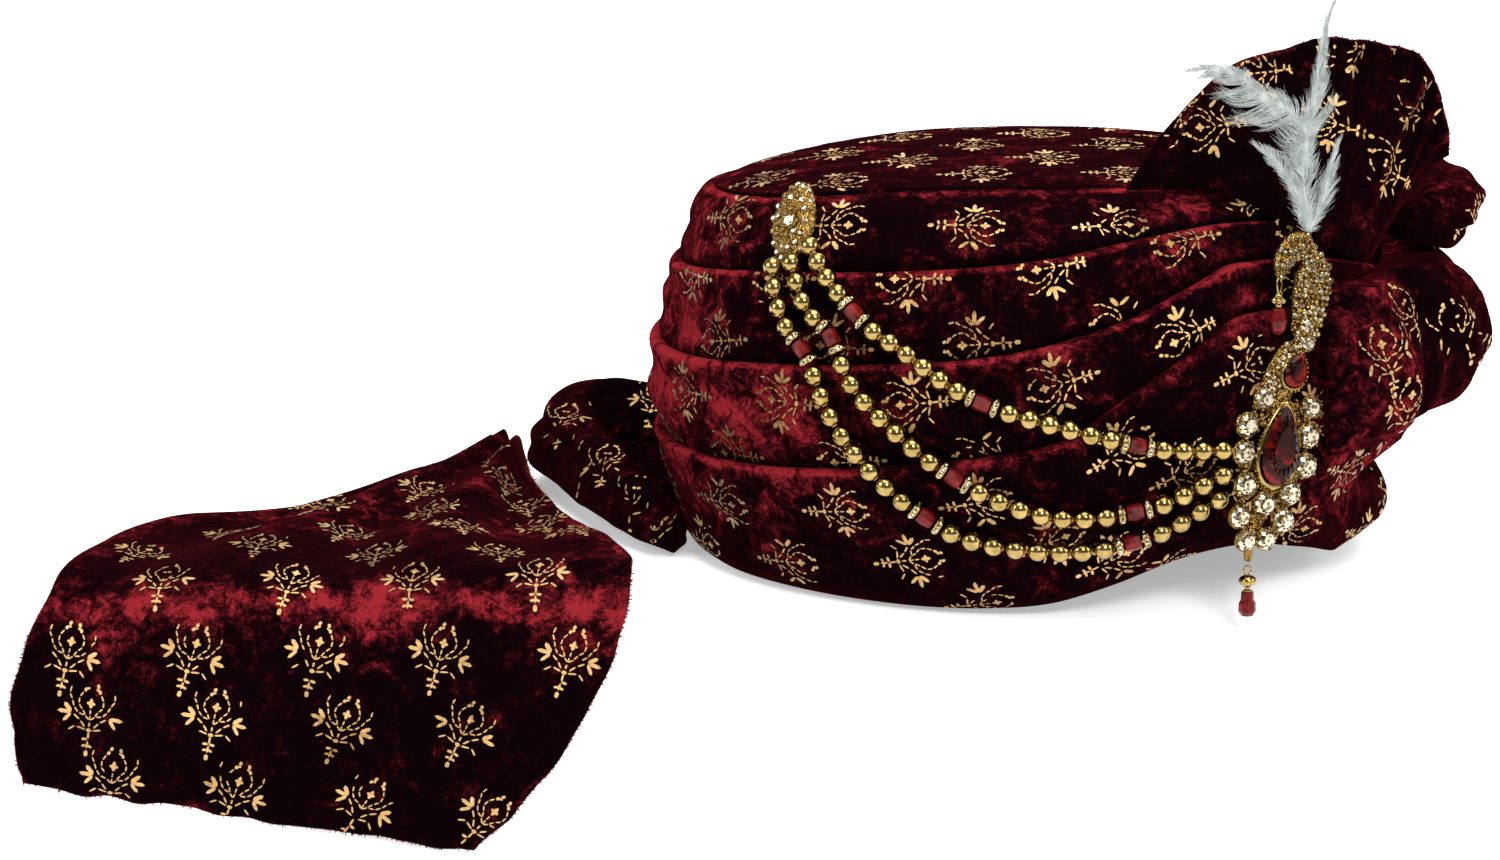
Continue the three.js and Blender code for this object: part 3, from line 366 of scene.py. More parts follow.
# Places where the pile shows bright, partly raised pile and partly painted sheen where the cloth turns toward
# a grazing view: centre and radius in millimetres, and strength
BRUSHED_AND_SHEEN = (
    (-136, -30, 92, 34, 0.75),
    (-128, -62, 70, 34, 0.6),
    (-136, -20, 45, 34, 0.5),
    (-104, -84, 60, 24, 0.35),
    (112, -66, 78, 30, 0.42),
    (138, -40, 70, 26, 0.28),
    (108, -70, 34, 26, 0.2),
    (-96, -40, 142, 30, 0.3),
    (60, -88, 118, 22, 0.35),
    (120, 40, 90, 46, 0.6),
    (0, 112, 70, 50, 0.5),
    (-90, 80, 80, 50, 0.5),
    (90, 90, 40, 40, 0.45),
)

# Velvet colour over the nap share, which holds painted sheen and shade as well as the raised pile: share, and
# how far from deep to crushed
VELVET_TONES = ((0.2, 0), (0.46, 0.05), (0.66, 0.24), (0.85, 0.58), (1.0, 1))

# Small tucks in each wound band: middle and reach in degrees, place and drift across it, height in
# millimetres
TUCKS = {
    1: (
        (-95, 40, 0.62, -0.12, 1.3), (-150, 34, 0.45, 0.1, 1.1), (-60, 22, 0.35, 0.2, 1.6),
        (60, 50, 0.5, 0.1, 1.2), (150, 40, 0.6, -0.1, 1.1),
    ),
    2: ((-75, 30, 0.5, 0.12, 1.3), (-130, 34, 0.42, -0.08, 1.0), (80, 60, 0.5, 0.06, 1.1)),
    3: ((-105, 40, 0.45, 0.1, 1.0), (-60, 22, 0.55, -0.1, 1.2), (110, 60, 0.5, 0.08, 1.0)),
    4: ((-110, 36, 0.5, 0.06, 0.9), (-160, 30, 0.4, -0.06, 0.9), (70, 70, 0.5, 0.06, 0.9)),
}

# Soft lumps and hollows of the bands: degrees, height, reach along and across, and depth in millimetres
LUMPS = (
    (-8, 19, 40, 12, 7.5),
    (-8, 38, 40, 6, -11),
    (-13, 49, 26, 6, 5),
    (-34, 14, 18, 9, 4),
    (-44, 26, 14, 9, 3.5),
    (-150, 30, 24, 12, 2),
    (-172, 62, 20, 9, 2.2),
    (-166, 92, 24, 7, -2),
)

# Motif lattice of each wound band: way the motifs point, start along the band, and start under its lip
LATTICE = {1: (1, 12, 16), 2: (-1, 2, 13), 3: (-1, 41, 2), 4: (1, 43, 7)}

# Stamping of foil: start over the cloth, reach, least facing, and most step within one dash
STAMP_START = 14
STAMP_REACH = 30
STAMP_FACING = 0.2
STAMP_STEP = 1.6

# Half of the foil motif, as shares of its height: mirrored, stroke width, dash length, points
MOTIF = (
    (0, 0.05, 0.09, ((0.006, -0.5), (0, -0.4))),
    (1, 0.03, 0.09, ((0, -0.345), (0.075, -0.37))),
    (1, 0.034, 0.1, ((0, -0.27), (0.092, -0.28))),
    (0, 0.024, 0.1, ((0, -0.4), (0.004, -0.28), (0, -0.15))),
    (0, 0.062, 0.07, ((0, -0.175), (0, -0.11))),
    (1, 0.022, 0.1, (
        (0.035, -0.145), (0.147, -0.116), (0.21, -0.105), (0.255, -0.145), (0.267, -0.19),
    )),
    (1, 0.022, 0.09, ((0.05, -0.112), (0.1, -0.043), (0.155, 0.009), (0.224, 0.06))),
    (1, 0.054, 0.17, ((0.235, 0.07), (0.366, 0.19))),
    (1, 0.05, 0.2, ((0.235, 0.07), (0.448, 0.06))),
    (1, 0.043, 0.18, ((0.24, 0.07), (0.353, -0.086))),
    (0, 0.022, 0.07, ((0, -0.1), (0, -0.02))),
    (1, 0.019, 0.08, (
        (0, 0), (0.07, 0.06), (0.13, 0.07), (0.18, 0.103), (0.233, 0.18),
        (0.26, 0.25), (0.293, 0.284), (0.293, 0.336), (0.285, 0.405),
    )),
    (1, 0.019, 0.075, (
        (0.06, 0.06), (0.095, 0.13), (0.147, 0.18), (0.164, 0.25), (0.147, 0.319), (0.112, 0.37),
    )),
    (1, 0.038, 0.07, ((0.112, 0.37), (0.078, 0.422), (0.047, 0.496))),
    (1, 0.026, 0.05, ((0.08, 0.41), (0.035, 0.43))),
    (0, 0.018, 0.06, ((0, 0), (0, 0.16))),
    (0, 0.048, 0.17, ((0, 0.16), (0, 0.325))),
    (1, 0.034, 0.07, ((0, 0.235), (0.064, 0.24))),
)

# Stage in metres: camera, floor and its edge, and lamps with their place, size and power
CAMERA_PLACE = (-0.106875, -1.43083, 0.45203)
CAMERA_AIM = (-0.106875, 0.01106, 0.03857)
FLOOR_REACH = 4.0
FLOOR_TOP = -0.0013
EDGE_ROUND = 0.006
FOOT_ROUND = 0.02
LAMPS = (
    ("key_light", (0.35, -1.7, 1.35), 0.55, 26),
    ("left_light", (-1.5, -0.5, 0.8), 0.9, 12),
    ("right_light", (1.5, -0.3, 0.7), 0.9, 12),
    ("back_light", (0.2, 1.4, 1.3), 1.0, 18),
    ("top_light", (-0.1, 0.1, 1.9), 1.4, 24),
)
LAMPS_AIM = (-0.08, -0.02, 0.05)
SKY_STRENGTH = 1.7


# Cloth arithmetic


def read_table(rows, key, field, at):
    """Smooth reading of a table between its rows."""
    x, y = rows[key], rows[field]
    at = np.asarray(at, float)
    i = np.searchsorted(x[1:-1], at, side="left")
    slope = np.diff(y) / np.diff(x)
    before, here = slope[np.maximum(i - 1, 0)], slope[i]
    after = slope[np.minimum(i + 1, len(slope) - 1)]
    span = x[i + 1] - x[i]
    t = np.clip((at - x[i]) / span, 0, 1)
    m0 = np.where(before * here <= 0, 0, (before + here) / 2)
    m1 = np.where(after * here <= 0, 0, (after + here) / 2)
    t2, t3 = t * t, t * t * t
    return (
        y[i] * (2 * t3 - 3 * t2 + 1)
        + m0 * span * (t3 - 2 * t2 + t)
        + y[i + 1] * (3 * t2 - 2 * t3)
        + m1 * span * (t3 - t2)
    )


def soft_noise(points, size, seed=0):
    """Smooth random field from -1 to 1 with bumps of the given size."""
    p = np.asarray(points, float) / size + seed * 17.31
    cell = np.floor(p).astype(np.int64)
    f = p - cell
    w = f * f * (3 - 2 * f)
    total = np.zeros(p.shape[:-1])
    for corner in itertools.product((0, 1), repeat=3):
        c = cell + np.array(corner)
        h = (c[..., 0] * 73856093) ^ (c[..., 1] * 19349663) ^ (c[..., 2] * 83492791) ^ (seed * 2654435)
        h = ((h ^ (h >> 13)) * 1274126177) & 0xFFFFFFFF
        h = (h ^ (h >> 16)) & 0xFFFF
        total += np.prod(np.where(corner, w, 1 - w), axis=-1) * h / 65535
    return total * 2 - 1


def bell(x, middle, width):
    """Smooth bump of height one round a middle."""
    return np.exp(-(((x - middle) / width) ** 2))


def around(phi, middle):
    """Degrees from a middle, the short way round."""
    return (phi - middle + 180) % 360 - 180


def round_places(turn, radius, third):
    """Places round a circle, for noise that joins up with itself."""
    return np.stack(np.broadcast_arrays(radius * np.cos(turn), radius * np.sin(turn), third), -1)


def run_along(line):
    """Distance along a line at each of its points."""
    return np.concatenate([[0], np.cumsum(np.linalg.norm(np.diff(line, axis=0), axis=1))])


def fold_height(fold, phi):
    return BODY_HEIGHT * read_table(FOLDS, "phi", fold, phi)


def seam_height(fold, phi):
    """Height of a fold's hidden seam on the cap."""
    height = fold_height(fold, phi)
    if fold == "rim":
        return height + CAP_WALL * 0.4
    below = fold_height(FOLD_ORDER[FOLD_ORDER.index(fold) - 1], phi)
    return height - np.minimum(FOLD_TUCK, 0.45 * (height - below))


def envelope(z):
    """Half length and half width of the wound body at a height."""
    share = np.asarray(z, float) / BODY_HEIGHT
    long = HEAD_LENGTH / 2 + CAP_WALL + WIND_ENDS * read_table(BODY, "height", "ends", share)
    wide = HEAD_WIDTH / 2 + CAP_WALL + WIND_SIDES * read_table(BODY, "height", "sides", share)
    return long, wide


def on_body(phi, z, out):
    """Place on the wound body, moved outward."""
    turn = np.radians(phi)
    long, wide = envelope(z)
    long = long - FRONT_TRIM * np.maximum(0, np.cos(turn)) ** 3
    return np.stack(np.broadcast_arrays((long + out) * np.cos(turn), (wide + out) * np.sin(turn), z), -1)


def on_cap(phi, z, out):
    """Place on the cap under the wraps, moved outward."""
    turn = np.radians(phi)
    share = read_table(BODY, "height", "cap", np.asarray(z, float) / BODY_HEIGHT)
    long = HEAD_LENGTH / 2 * share + CAP_WALL + out
    wide = HEAD_WIDTH / 2 * share + CAP_WALL + out
    return np.stack(np.broadcast_arrays(long * np.cos(turn), wide * np.sin(turn), z), -1)


def smooth_rows(controls, samples):
    """Smooth curve through rows of control points, each row an array."""
    c = np.asarray(controls, float)
    c = np.concatenate([2 * c[:1] - c[1:2], c, 2 * c[-1:] - c[-2:-1]])
    out = []
    for s in samples:
        i = min(int(s), len(c) - 4)
        t = s - i
        a, b, d, e = c[i], c[i + 1], c[i + 2], c[i + 3]
        bend = (2 * a - 5 * b + 4 * d - e) * t * t + (3 * b - a - 3 * d + e) * t**3
        out.append(0.5 * (2 * b + (d - a) * t + bend))
    return np.array(out)


def route_through(points, per=40):
    """Centripetal curve through points, as a dense line."""
    p = np.asarray(points, float)
    p = np.concatenate([2 * p[:1] - p[1:2], p, 2 * p[-1:] - p[-2:-1]])
    line = []
    for i in range(len(p) - 3):
        x0, x1, x2, x3 = p[i : i + 4]
        pairs = ((x0, x1), (x1, x2), (x2, x3))
        d0, d1, d2 = (max(np.linalg.norm(b - a), 1e-6) ** 0.5 for a, b in pairs)
        t1 = ((x1 - x0) / d0 - (x2 - x0) / (d0 + d1) + (x2 - x1) / d1) * d1
        t2 = ((x2 - x1) / d1 - (x3 - x1) / (d1 + d2) + (x3 - x2) / d2) * d1
        t = np.linspace(0, 1, per, endpoint=i == len(p) - 4)[:, None]
        bend = (3 * x2 - 3 * x1 - 2 * t1 - t2) * t**2 + (2 * x1 - 2 * x2 + t1 + t2) * t**3
        line.append(x1 + t1 * t + bend)
    return np.concatenate(line)


class Line:
    """A dense line that is read by distance along it."""

    def __init__(self, points):
        self.points = np.asarray(points, float)
        self.at = run_along(self.points)
        self.length = self.at[-1]

    def point(self, distance):
        return np.array([np.interp(distance, self.at, self.points[:, k]) for k in range(3)])

    def along(self, distance):
        d = self.point(distance + 0.3) - self.point(distance - 0.3)
        return d / np.linalg.norm(d)

    def inner_way(self, distance):
        """Direction, read just inside the line's ends."""
        return self.along(min(max(distance, 0.31), self.length - 0.31))


def unit(v):
    v = np.asarray(v, float)
    return v / np.maximum(np.linalg.norm(v, axis=-1, keepdims=True), 1e-9)


def grid_faces(rows, columns, closed=False, start=0):
    """Quads over a grid of points, closed around its columns if asked."""
    across = columns if closed else columns - 1
    i, j = np.meshgrid(np.arange(rows - 1), np.arange(across), indexing="ij")
    k = (j + 1) % columns
    quads = np.stack([i * columns + j, i * columns + k, (i + 1) * columns + k, (i + 1) * columns + j], -1)
    return (quads.reshape(-1, 4) + start).tolist()


def grid_normals(grid):
    return unit(np.cross(np.gradient(grid, axis=1), np.gradient(grid, axis=0)))


def nap_at(points, edge=0.0):
    """How far the pile is raised, with painted sheen from the bright patches and the painted highlights and
    shade passed in as edge, from 0 to about 1.
    """
    p = np.asarray(points, float)
    nap = 0.22 + 0.26 * soft_noise(p, 34, 3) + 0.16 * soft_noise(p, 13, 5)
    for x, y, z, radius, strength in BRUSHED_AND_SHEEN:
        near = np.exp(-(np.linalg.norm(p - (x, y, z), axis=-1) / radius) ** 2)
        nap = nap + 0.8 * strength * near * (1 + 0.7 * soft_noise(p, 11, 9))
    nap = np.minimum(nap, 0.5 + 0.3 * nap) - 0.22 * np.clip(soft_noise(p, 9, 15) - 0.25, 0, 1)
    # edge adds each piece's painted highlights and painted shade
    return np.clip(nap + edge, 0, 1)


# Making pieces


def add_piece(name, points, faces, material, replaces=(), smooth=True, nap=None):
    """Mesh object in metres from points in millimetres."""
    mesh = bpy.data.meshes.new(name)
    points = np.asarray(points, float).reshape(-1, 3)
    mesh.from_pydata((points * MM).tolist(), [], [list(f) for f in faces])
    mesh.validate()
    if smooth:
        mesh.shade_smooth()
    else:
        mesh.shade_flat()
    if nap is not None:
        # Per-point nap with its painted sheen and shade, read by the velvet and foil finishes
        layer = mesh.attributes.new("nap", "FLOAT", "POINT")
        layer.data.foreach_set("value", np.asarray(nap, np.float32).ravel())
    piece = bpy.data.objects.new(name, mesh)
    bpy.context.scene.collection.objects.link(piece)
    mesh.materials.append(material)
    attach(piece, "root")
    if replaces:
        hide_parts(*replaces)
    return piece


def faced_out(points, faces):
    """Faces turned so that their body holds a positive volume."""
    p = points - points.mean(0)
    fans = np.array([(f[0], f[k], f[k + 1]) for f in faces for k in range(1, len(f) - 1)])
    volume = np.einsum("ij,ij->", p[fans[:, 0]], np.cross(p[fans[:, 1]], p[fans[:, 2]]))
    return faces if volume > 0 else [f[::-1] for f in faces]


def closed_rings(rings):
    """Points and faces of a body through equal rings, with both ends closed."""
    rings = np.asarray(rings, float)
    rows, columns = rings.shape[:2]
    points = np.concatenate([rings.reshape(-1, 3), rings[0].mean(0)[None], rings[-1].mean(0)[None]])
    faces = grid_faces(rows, columns, closed=True)
    first, last, start = rows * columns, rows * columns + 1, (rows - 1) * columns
    faces += [[first, (j + 1) % columns, j] for j in range(columns)]
    faces += [[last, start + j, start + (j + 1) % columns] for j in range(columns)]
    return points, faced_out(points, faces)


def thick_sheet(grid, thick):
    """Points and faces of a sheet of even thickness."""
    rows, columns = grid.shape[:2]
    normal = grid_normals(grid) * thick / 2
    points = np.concatenate([(grid + normal).reshape(-1, 3), (grid - normal).reshape(-1, 3)])
    below = rows * columns
    faces = [f[::-1] for f in grid_faces(rows, columns)] + grid_faces(rows, columns, start=below)
    edge = list(range(columns))
    edge += [i * columns + columns - 1 for i in range(1, rows)]
    edge += [(rows - 1) * columns + j for j in range(columns - 2, -1, -1)]
    edge += [i * columns for i in range(rows - 2, 0, -1)]
    for a, b in zip(edge, edge[1:] + edge[:1]):
        faces.append([a, b, below + b, below + a])
    return points, faced_out(points, faces)


def gather_parts(parts):
    """One set of points and faces from several."""
    points, faces, start = [], [], 0
    for p, f in parts:
        points.append(np.asarray(p, float).reshape(-1, 3))
        faces += [[v + start for v in face] for face in f]
        start += len(points[-1])
    return np.concatenate(points), faces


def add_parts(name, parts, material, replaces=(), place=None, smooth=True):
    """One piece of several bodies, moved into a frame if one is given."""
    points, faces = gather_parts(parts)
    if place is not None:
        points = points @ place[:, :3].T + place[:, 3]
    return add_piece(name, points, faces, material, replaces, smooth)


def ring_about(centre, a, b, radius, sides):
    t = 2 * np.pi * np.arange(sides) / sides
    return centre + np.outer(np.cos(t) * radius, a) + np.outer(np.sin(t) * radius, b)


def turned(centre, axis, rows, sides):
    """Turned body along an axis: rows of distance and radius."""
    axis = unit(axis)
    side = unit(np.cross(axis, (0.31, 0.2, 0.93)))
    other = np.cross(axis, side)
    return closed_rings([ring_about(centre + axis * d, side, other, r, sides) for d, r in rows])


def ball(centre, axis, radius, sides=20, rows=11):
    angle = np.linspace(0.12, np.pi - 0.12, rows)
    return turned(centre, axis, [(-radius * math.cos(a), radius * math.sin(a)) for a in angle], sides)


def tube_along(line, radius, sides, count, narrowing=0.0):
    """Round tube along a line, narrower at its end by a share."""
    rings = []
    side = None
    for d in np.linspace(0, line.length, count):
        along = line.inner_way(d)
        if side is None:
            side = unit(np.cross(along, (0.1, 0.3, 1.0)))
        else:
            side = unit(side - along * (side @ along))
        r = radius * (1 - narrowing * (d / line.length))
        rings.append(ring_about(line.point(d), side, np.cross(along, side), r, sides))
    return closed_rings(rings)


def set_node(nodes, kind, **inputs):
    """New shader node with its inputs set by name."""
    node = nodes.new(kind)
    for name, value in inputs.items():
        node.inputs[name.replace("_", " ")].default_value = value
    return node


# Finishes


class Finish:
    """Material with its nodes built in a row."""

    def __init__(self, name):
        self.material = bpy.data.materials.new(name)
        self.material.use_nodes = True
        self.nodes = self.material.node_tree.nodes
        self.links = self.material.node_tree.links
        self.shader = self.nodes["Principled BSDF"]
        self.place = self.nodes.new("ShaderNodeTexCoord").outputs["Object"]

    def set(self, **values):
        for name, value in values.items():
            self.shader.inputs[name.replace("_", " ")].default_value = value
        return self

    def noise(self, scale, detail=3.0, rough=0.55, distortion=0.0, stretch=None):
        sizes = {"Scale": scale, "Detail": detail, "Roughness": rough, "Distortion": distortion}
        node = set_node(self.nodes, "ShaderNodeTexNoise", **sizes)
        source = self.place
        if stretch:
            mapping = self.nodes.new("ShaderNodeMapping")
            mapping.inputs["Scale"].default_value = stretch
            self.links.new(self.place, mapping.inputs["Vector"])
            source = mapping.outputs["Vector"]
        self.links.new(source, node.inputs["Vector"])
        return node.outputs["Fac"]

    def voronoi(self, scale):
        node = set_node(self.nodes, "ShaderNodeTexVoronoi", Scale=scale)
        self.links.new(self.place, node.inputs["Vector"])
        return node.outputs["Distance"]

    def attribute(self, name):
        node = self.nodes.new("ShaderNodeAttribute")
        node.attribute_name = name
        return node.outputs["Fac"]

    def math(self, operation, a, b=None, c=None, clamp=False):
        node = self.nodes.new("ShaderNodeMath")
        node.operation = operation
        node.use_clamp = clamp
        for socket, value in zip(node.inputs, (a, b, c)):
            if value is None:
                continue
            if isinstance(value, (int, float)):
                socket.default_value = value
            else:
                self.links.new(value, socket)
        return node.outputs[0]

    def ramp(self, factor, stops):
        node = self.nodes.new("ShaderNodeValToRGB")
        while len(node.color_ramp.elements) < len(stops):
            node.color_ramp.elements.new(0.5)
        for element, (at, colour) in zip(node.color_ramp.elements, stops):
            element.position = at
            element.color = (*colour, 1)
        self.links.new(factor, node.inputs["Fac"])
        return node.outputs["Color"]

    def bump(self, height, distance, strength=1.0, under=None):
        node = set_node(self.nodes, "ShaderNodeBump", Strength=strength, Distance=distance)
        self.links.new(height, node.inputs["Height"])
        if under is not None:
            self.links.new(under, node.inputs["Normal"])
        return node.outputs["Normal"]

    def join(self, output, socket):
        self.links.new(output, self.shader.inputs[socket])
        return self


def finish_once(make):
    """Keeps one material for each finish."""

    def get():
        name = make.__name__
        return bpy.data.materials.get(name) or make(name)

    return get


@finish_once
def crushed_velvet(name):
    sizes = bpy.context.scene.turban_velvet
    deep, crushed = tuple(sizes.deep_colour), tuple(sizes.crushed_colour)
    f = Finish(name)
    f.set(Roughness=1.0, Specular_IOR_Level=0.0)
    f.set(Sheen_Weight=sizes.sheen, Sheen_Roughness=0.22, Sheen_Tint=(*sizes.sheen_colour, 1))
    broad = f.noise(30, 2, 0.5, 0.6)
    mottle = f.noise(1 / sizes.crush_size, 5, 0.62, 0.9)
    streak = f.noise(260, 4, 0.6, 1.2)
    grain = f.noise(1300, 3, 0.7)
    # Base colour follows the nap attribute, with its painted sheen and shade, plus random mottling
    mixed = f.math("MULTIPLY_ADD", f.math("SUBTRACT", mottle, 0.5), 2.3, f.attribute("nap"))
    mixed = f.math("MULTIPLY_ADD", f.math("SUBTRACT", broad, 0.5), 0.7, mixed)
    mixed = f.math("MULTIPLY_ADD", f.math("SUBTRACT", streak, 0.5), 1.5, mixed)
    mixed = f.math("MULTIPLY_ADD", f.math("SUBTRACT", grain, 0.5), 1.2, mixed, clamp=True)
    shades = [(at, tuple(d + t * (c - d) for d, c in zip(deep, crushed))) for at, t in VELVET_TONES]
    f.join(f.ramp(mixed, shades), "Base Color")
    normal = f.bump(mottle, 0.002, 0.8)
    normal = f.bump(streak, 0.001, 0.8, normal)
    f.join(f.bump(grain, 0.0004, 0.8, normal), "Normal")
    return f.material


@finish_once
def frayed_pile(name):
    f = Finish(name)
    f.set(Roughness=0.9, Specular_IOR_Level=0.1, Sheen_Weight=0.6, Sheen_Tint=(0.6, 0.1, 0.09, 1))
    f.join(f.ramp(f.noise(220, 3), ((0.3, (0.05, 0.004, 0.008)), (0.7, (0.2, 0.018, 0.02)))), "Base Color")
    return f.material


@finish_once
def cap_lining(name):
    f = Finish(name)
    f.set(Roughness=0.85, Specular_IOR_Level=0.25)
    weave = f.math("MULTIPLY", f.noise(900, 2, 0.5, 0, (1, 1, 4)), f.noise(900, 2, 0.5, 0, (4, 4, 1)))
    f.join(f.ramp(weave, ((0.15, (0.01, 0.006, 0.007)), (0.5, (0.045, 0.014, 0.018)))), "Base Color")
    f.join(f.bump(weave, 0.0003, 0.6), "Normal")
    return f.material


@finish_once
def gold_foil(name):
    colour = tuple(bpy.context.scene.turban_foil.foil_colour)
    f = Finish(name)
    f.set(Metallic=0.85)
    worn = f.noise(380, 4, 0.7)
    wear_and_painted_shade = f.math("MULTIPLY_ADD", f.noise(24, 2), 0.7, f.math("MULTIPLY_ADD", worn, 0.7, -0.2))
    # Painted shade: the foil is darker where the cloth's nap is high, standing in for its dull reflection at
    # a grazing view; the noise terms are wear
    wear_and_painted_shade = f.math("MULTIPLY_ADD", f.attribute("nap"), -0.42, f.math("ADD", wear_and_painted_shade, 0.14))
    dark = tuple(c * t for c, t in zip(colour, (0.3, 0.22, 0.16)))
    bright = tuple(min(1, 1.5 * c) for c in colour)
    f.join(f.ramp(wear_and_painted_shade, ((0.3, dark), (0.5, colour), (0.72, bright))), "Base Color")
    f.join(f.math("MULTIPLY_ADD", worn, 0.35, 0.2), "Roughness")
    f.join(f.bump(f.noise(1500, 3), 0.0006, 1.0), "Normal")
    return f.material


@finish_once
def polished_gold(name):
    f = Finish(name)
    f.set(Metallic=1.0)
    worn = f.noise(300, 4, 0.6)
    f.join(f.ramp(worn, ((0.3, (0.2, 0.135, 0.04)), (0.7, (0.4, 0.28, 0.1)))), "Base Color")
    f.join(f.math("MULTIPLY_ADD", worn, 0.12, 0.09), "Roughness")
    f.join(f.bump(f.noise(160, 2), 0.0002, 0.12), "Normal")
    return f.material


@finish_once
def cast_gold(name):
    f = Finish(name)
    f.set(Metallic=1.0)
    worn = f.noise(900, 4, 0.7)
    stops = ((0.34, (0.06, 0.03, 0.007)), (0.54, (0.26, 0.15, 0.036)), (0.74, (0.6, 0.41, 0.14)))
    f.join(f.ramp(worn, stops), "Base Color")
    f.join(f.math("MULTIPLY_ADD", worn, 0.25, 0.1), "Roughness")
    f.join(f.bump(f.voronoi(1300), 0.0006, 0.9), "Normal")
    return f.material


@finish_once
def cut_crystal(name):
    f = Finish(name)
    f.set(Metallic=0.9, Roughness=0.05, Coat_Weight=0.35, Coat_Roughness=0.02)
    tone = f.math("MULTIPLY_ADD", f.noise(420, 2, 0.5), 0.6, f.math("MULTIPLY", f.voronoi(620), 0.9))
    stops = ((0.38, (0.05, 0.028, 0.009)), (0.6, (0.2, 0.14, 0.062)), (0.84, (0.6, 0.54, 0.4)))
    f.join(f.ramp(tone, stops), "Base Color")
    return f.material


@finish_once
def cut_ruby(name):
    f = Finish(name)
    f.set(Metallic=0.1, Roughness=0.06, Specular_IOR_Level=0.12, Coat_Weight=0.04, Coat_Roughness=0.03)
    tone = f.math("MULTIPLY_ADD", f.noise(190, 2, 0.5), 0.7, f.math("MULTIPLY", f.voronoi(160), 0.8))
    stops = ((0.5, (0.007, 0.0005, 0.0005)), (0.82, (0.025, 0.0012, 0.001)), (0.97, (0.14, 0.004, 0.002)))
    f.join(f.ramp(tone, stops), "Base Color")
    return f.material


@finish_once
def red_glass(name):
    f = Finish(name)
    f.set(Metallic=0.0, Roughness=0.22, Specular_IOR_Level=0.15, Coat_Weight=0.05, Coat_Roughness=0.05)
    tone = f.noise(260, 3, 0.55)
    f.join(f.ramp(tone, ((0.35, (0.03, 0.0015, 0.0015)), (0.65, (0.15, 0.006, 0.005)))), "Base Color")
    return f.material


@finish_once
def feather_white(name):
    f = Finish(name)
    f.set(Roughness=0.8, Specular_IOR_Level=0.1)
    tone = f.noise(240, 3, 0.5)
    f.join(f.ramp(tone, ((0.3, (0.24, 0.27, 0.26)), (0.7, (0.44, 0.47, 0.455)))), "Base Color")
    return f.material


@finish_once
def pale_floor(name):
    f = Finish(name)
    f.set(Roughness=0.9, Specular_IOR_Level=0.1)
    f.set(Emission_Color=(1, 1, 1, 1), Emission_Strength=0.4)
    f.join(f.ramp(f.noise(3, 2), ((0.3, (0.86, 0.86, 0.86)), (0.7, (0.9, 0.9, 0.9)))), "Base Color")
    return f.material


# Wound body


def wrap_grid(lower, upper, columns=288):
    """Visible skin of one wound band: rows from its foot to behind its lip."""
    phi = np.linspace(-180, 180, columns, endpoint=False)
    top, foot = fold_height(upper, phi), fold_height(lower, phi) + (0 if lower == "rim" else GAP)
    rise = top - foot
    start = -WIND_SIDES * 0.3 if lower == "rim" else -LIP_RECESS
    profile = (
        (foot, start),
        (foot + 0.1 * rise, -0.25 * LIP_RECESS),
        (foot + 0.3 * rise, 0.1 * LIP_PROUD),
        (foot + 0.62 * rise, 0.45 * LIP_PROUD),
        (top - np.minimum(3.2, 0.3 * rise), 0.95 * LIP_PROUD),
        (top - 0.9, 0.92 * LIP_PROUD),
        (top, 0.45 * LIP_PROUD),
        (top - 0.3, -LIP_RECESS),
    )
    controls = [(height, np.full(columns, out)) for height, out in profile]
    samples = np.concatenate([np.linspace(0, 4, 34), np.linspace(4, 7, 13)[1:]])
    z, out = np.moveaxis(smooth_rows(controls, samples), 1, 0)
    return phi, (z - foot) / rise, z, out, rise


def wound_relief(number, phi, v, rise):
    """Wrinkles of a wound band, which run along it and close up where it narrows."""
    turn = np.radians(phi)[None, :]
    long = round_places(turn, 90, v * 34 + 60 * number)
    body = np.clip(4 * v * (1 - v), 0, 1)
    sway = soft_noise(round_places(turn, 70, 0 * v + number), 60, number)
    wave = np.sin(2 * np.pi * (1.7 * v + 0.55 * sway + 0.2 * number))
    relief = 0.9 * body * wave + 1.1 * body * soft_noise(long * (1, 1, 1.6), 26, 20 + number)
    relief += 0.35 * body * soft_noise(long * (1, 1, 2.0), 9, 40 + number)
    for middle, reach, base, drift, height in TUCKS[number]:
        off = around(phi, middle)[None, :]
        gone = v - (base + drift * off / 60 + 0.04 * sway)
        fall = np.where(gone < 0, np.exp(gone / 0.22), np.exp(-gone / 0.035))
        relief += height * bell(off, 0, reach) * fall
    return relief * np.clip(rise / 30, 0.35, 1)[None, :]


def body_lumps(phi, z):
    """Soft lumps and hollows, as millimetres out."""
    out = 0 * z
    for turn, height, along, across, depth in LUMPS:
        off = around(phi, turn) * 2
        out = out + depth * np.exp(-((off / along) ** 2) - ((z - height) / across) ** 2)
    return out


def dome_height(x, y):
    """Height and edge share of the domed top at a place."""
    phi = np.degrees(np.arctan2(y / DOME_WIDE, x / DOME_LONG))
    shoulder = fold_height("four", phi) + GAP
    edge = on_body(phi, shoulder, -LIP_RECESS)
    share = np.sqrt(x * x + y * y) / np.linalg.norm(edge[..., :2], axis=-1)
    rise = read_table(DOME, "out", "rise", np.clip(share, 0, 1))
    return shoulder + (BODY_HEIGHT - shoulder) * rise, share


# Foil motifs


def lattice_steps(foil):
    """Steps of the half-drop lattice along and across the cloth, in millimetres."""
    return 2 * foil.row_spacing / MM, foil.column_spacing / MM / 2


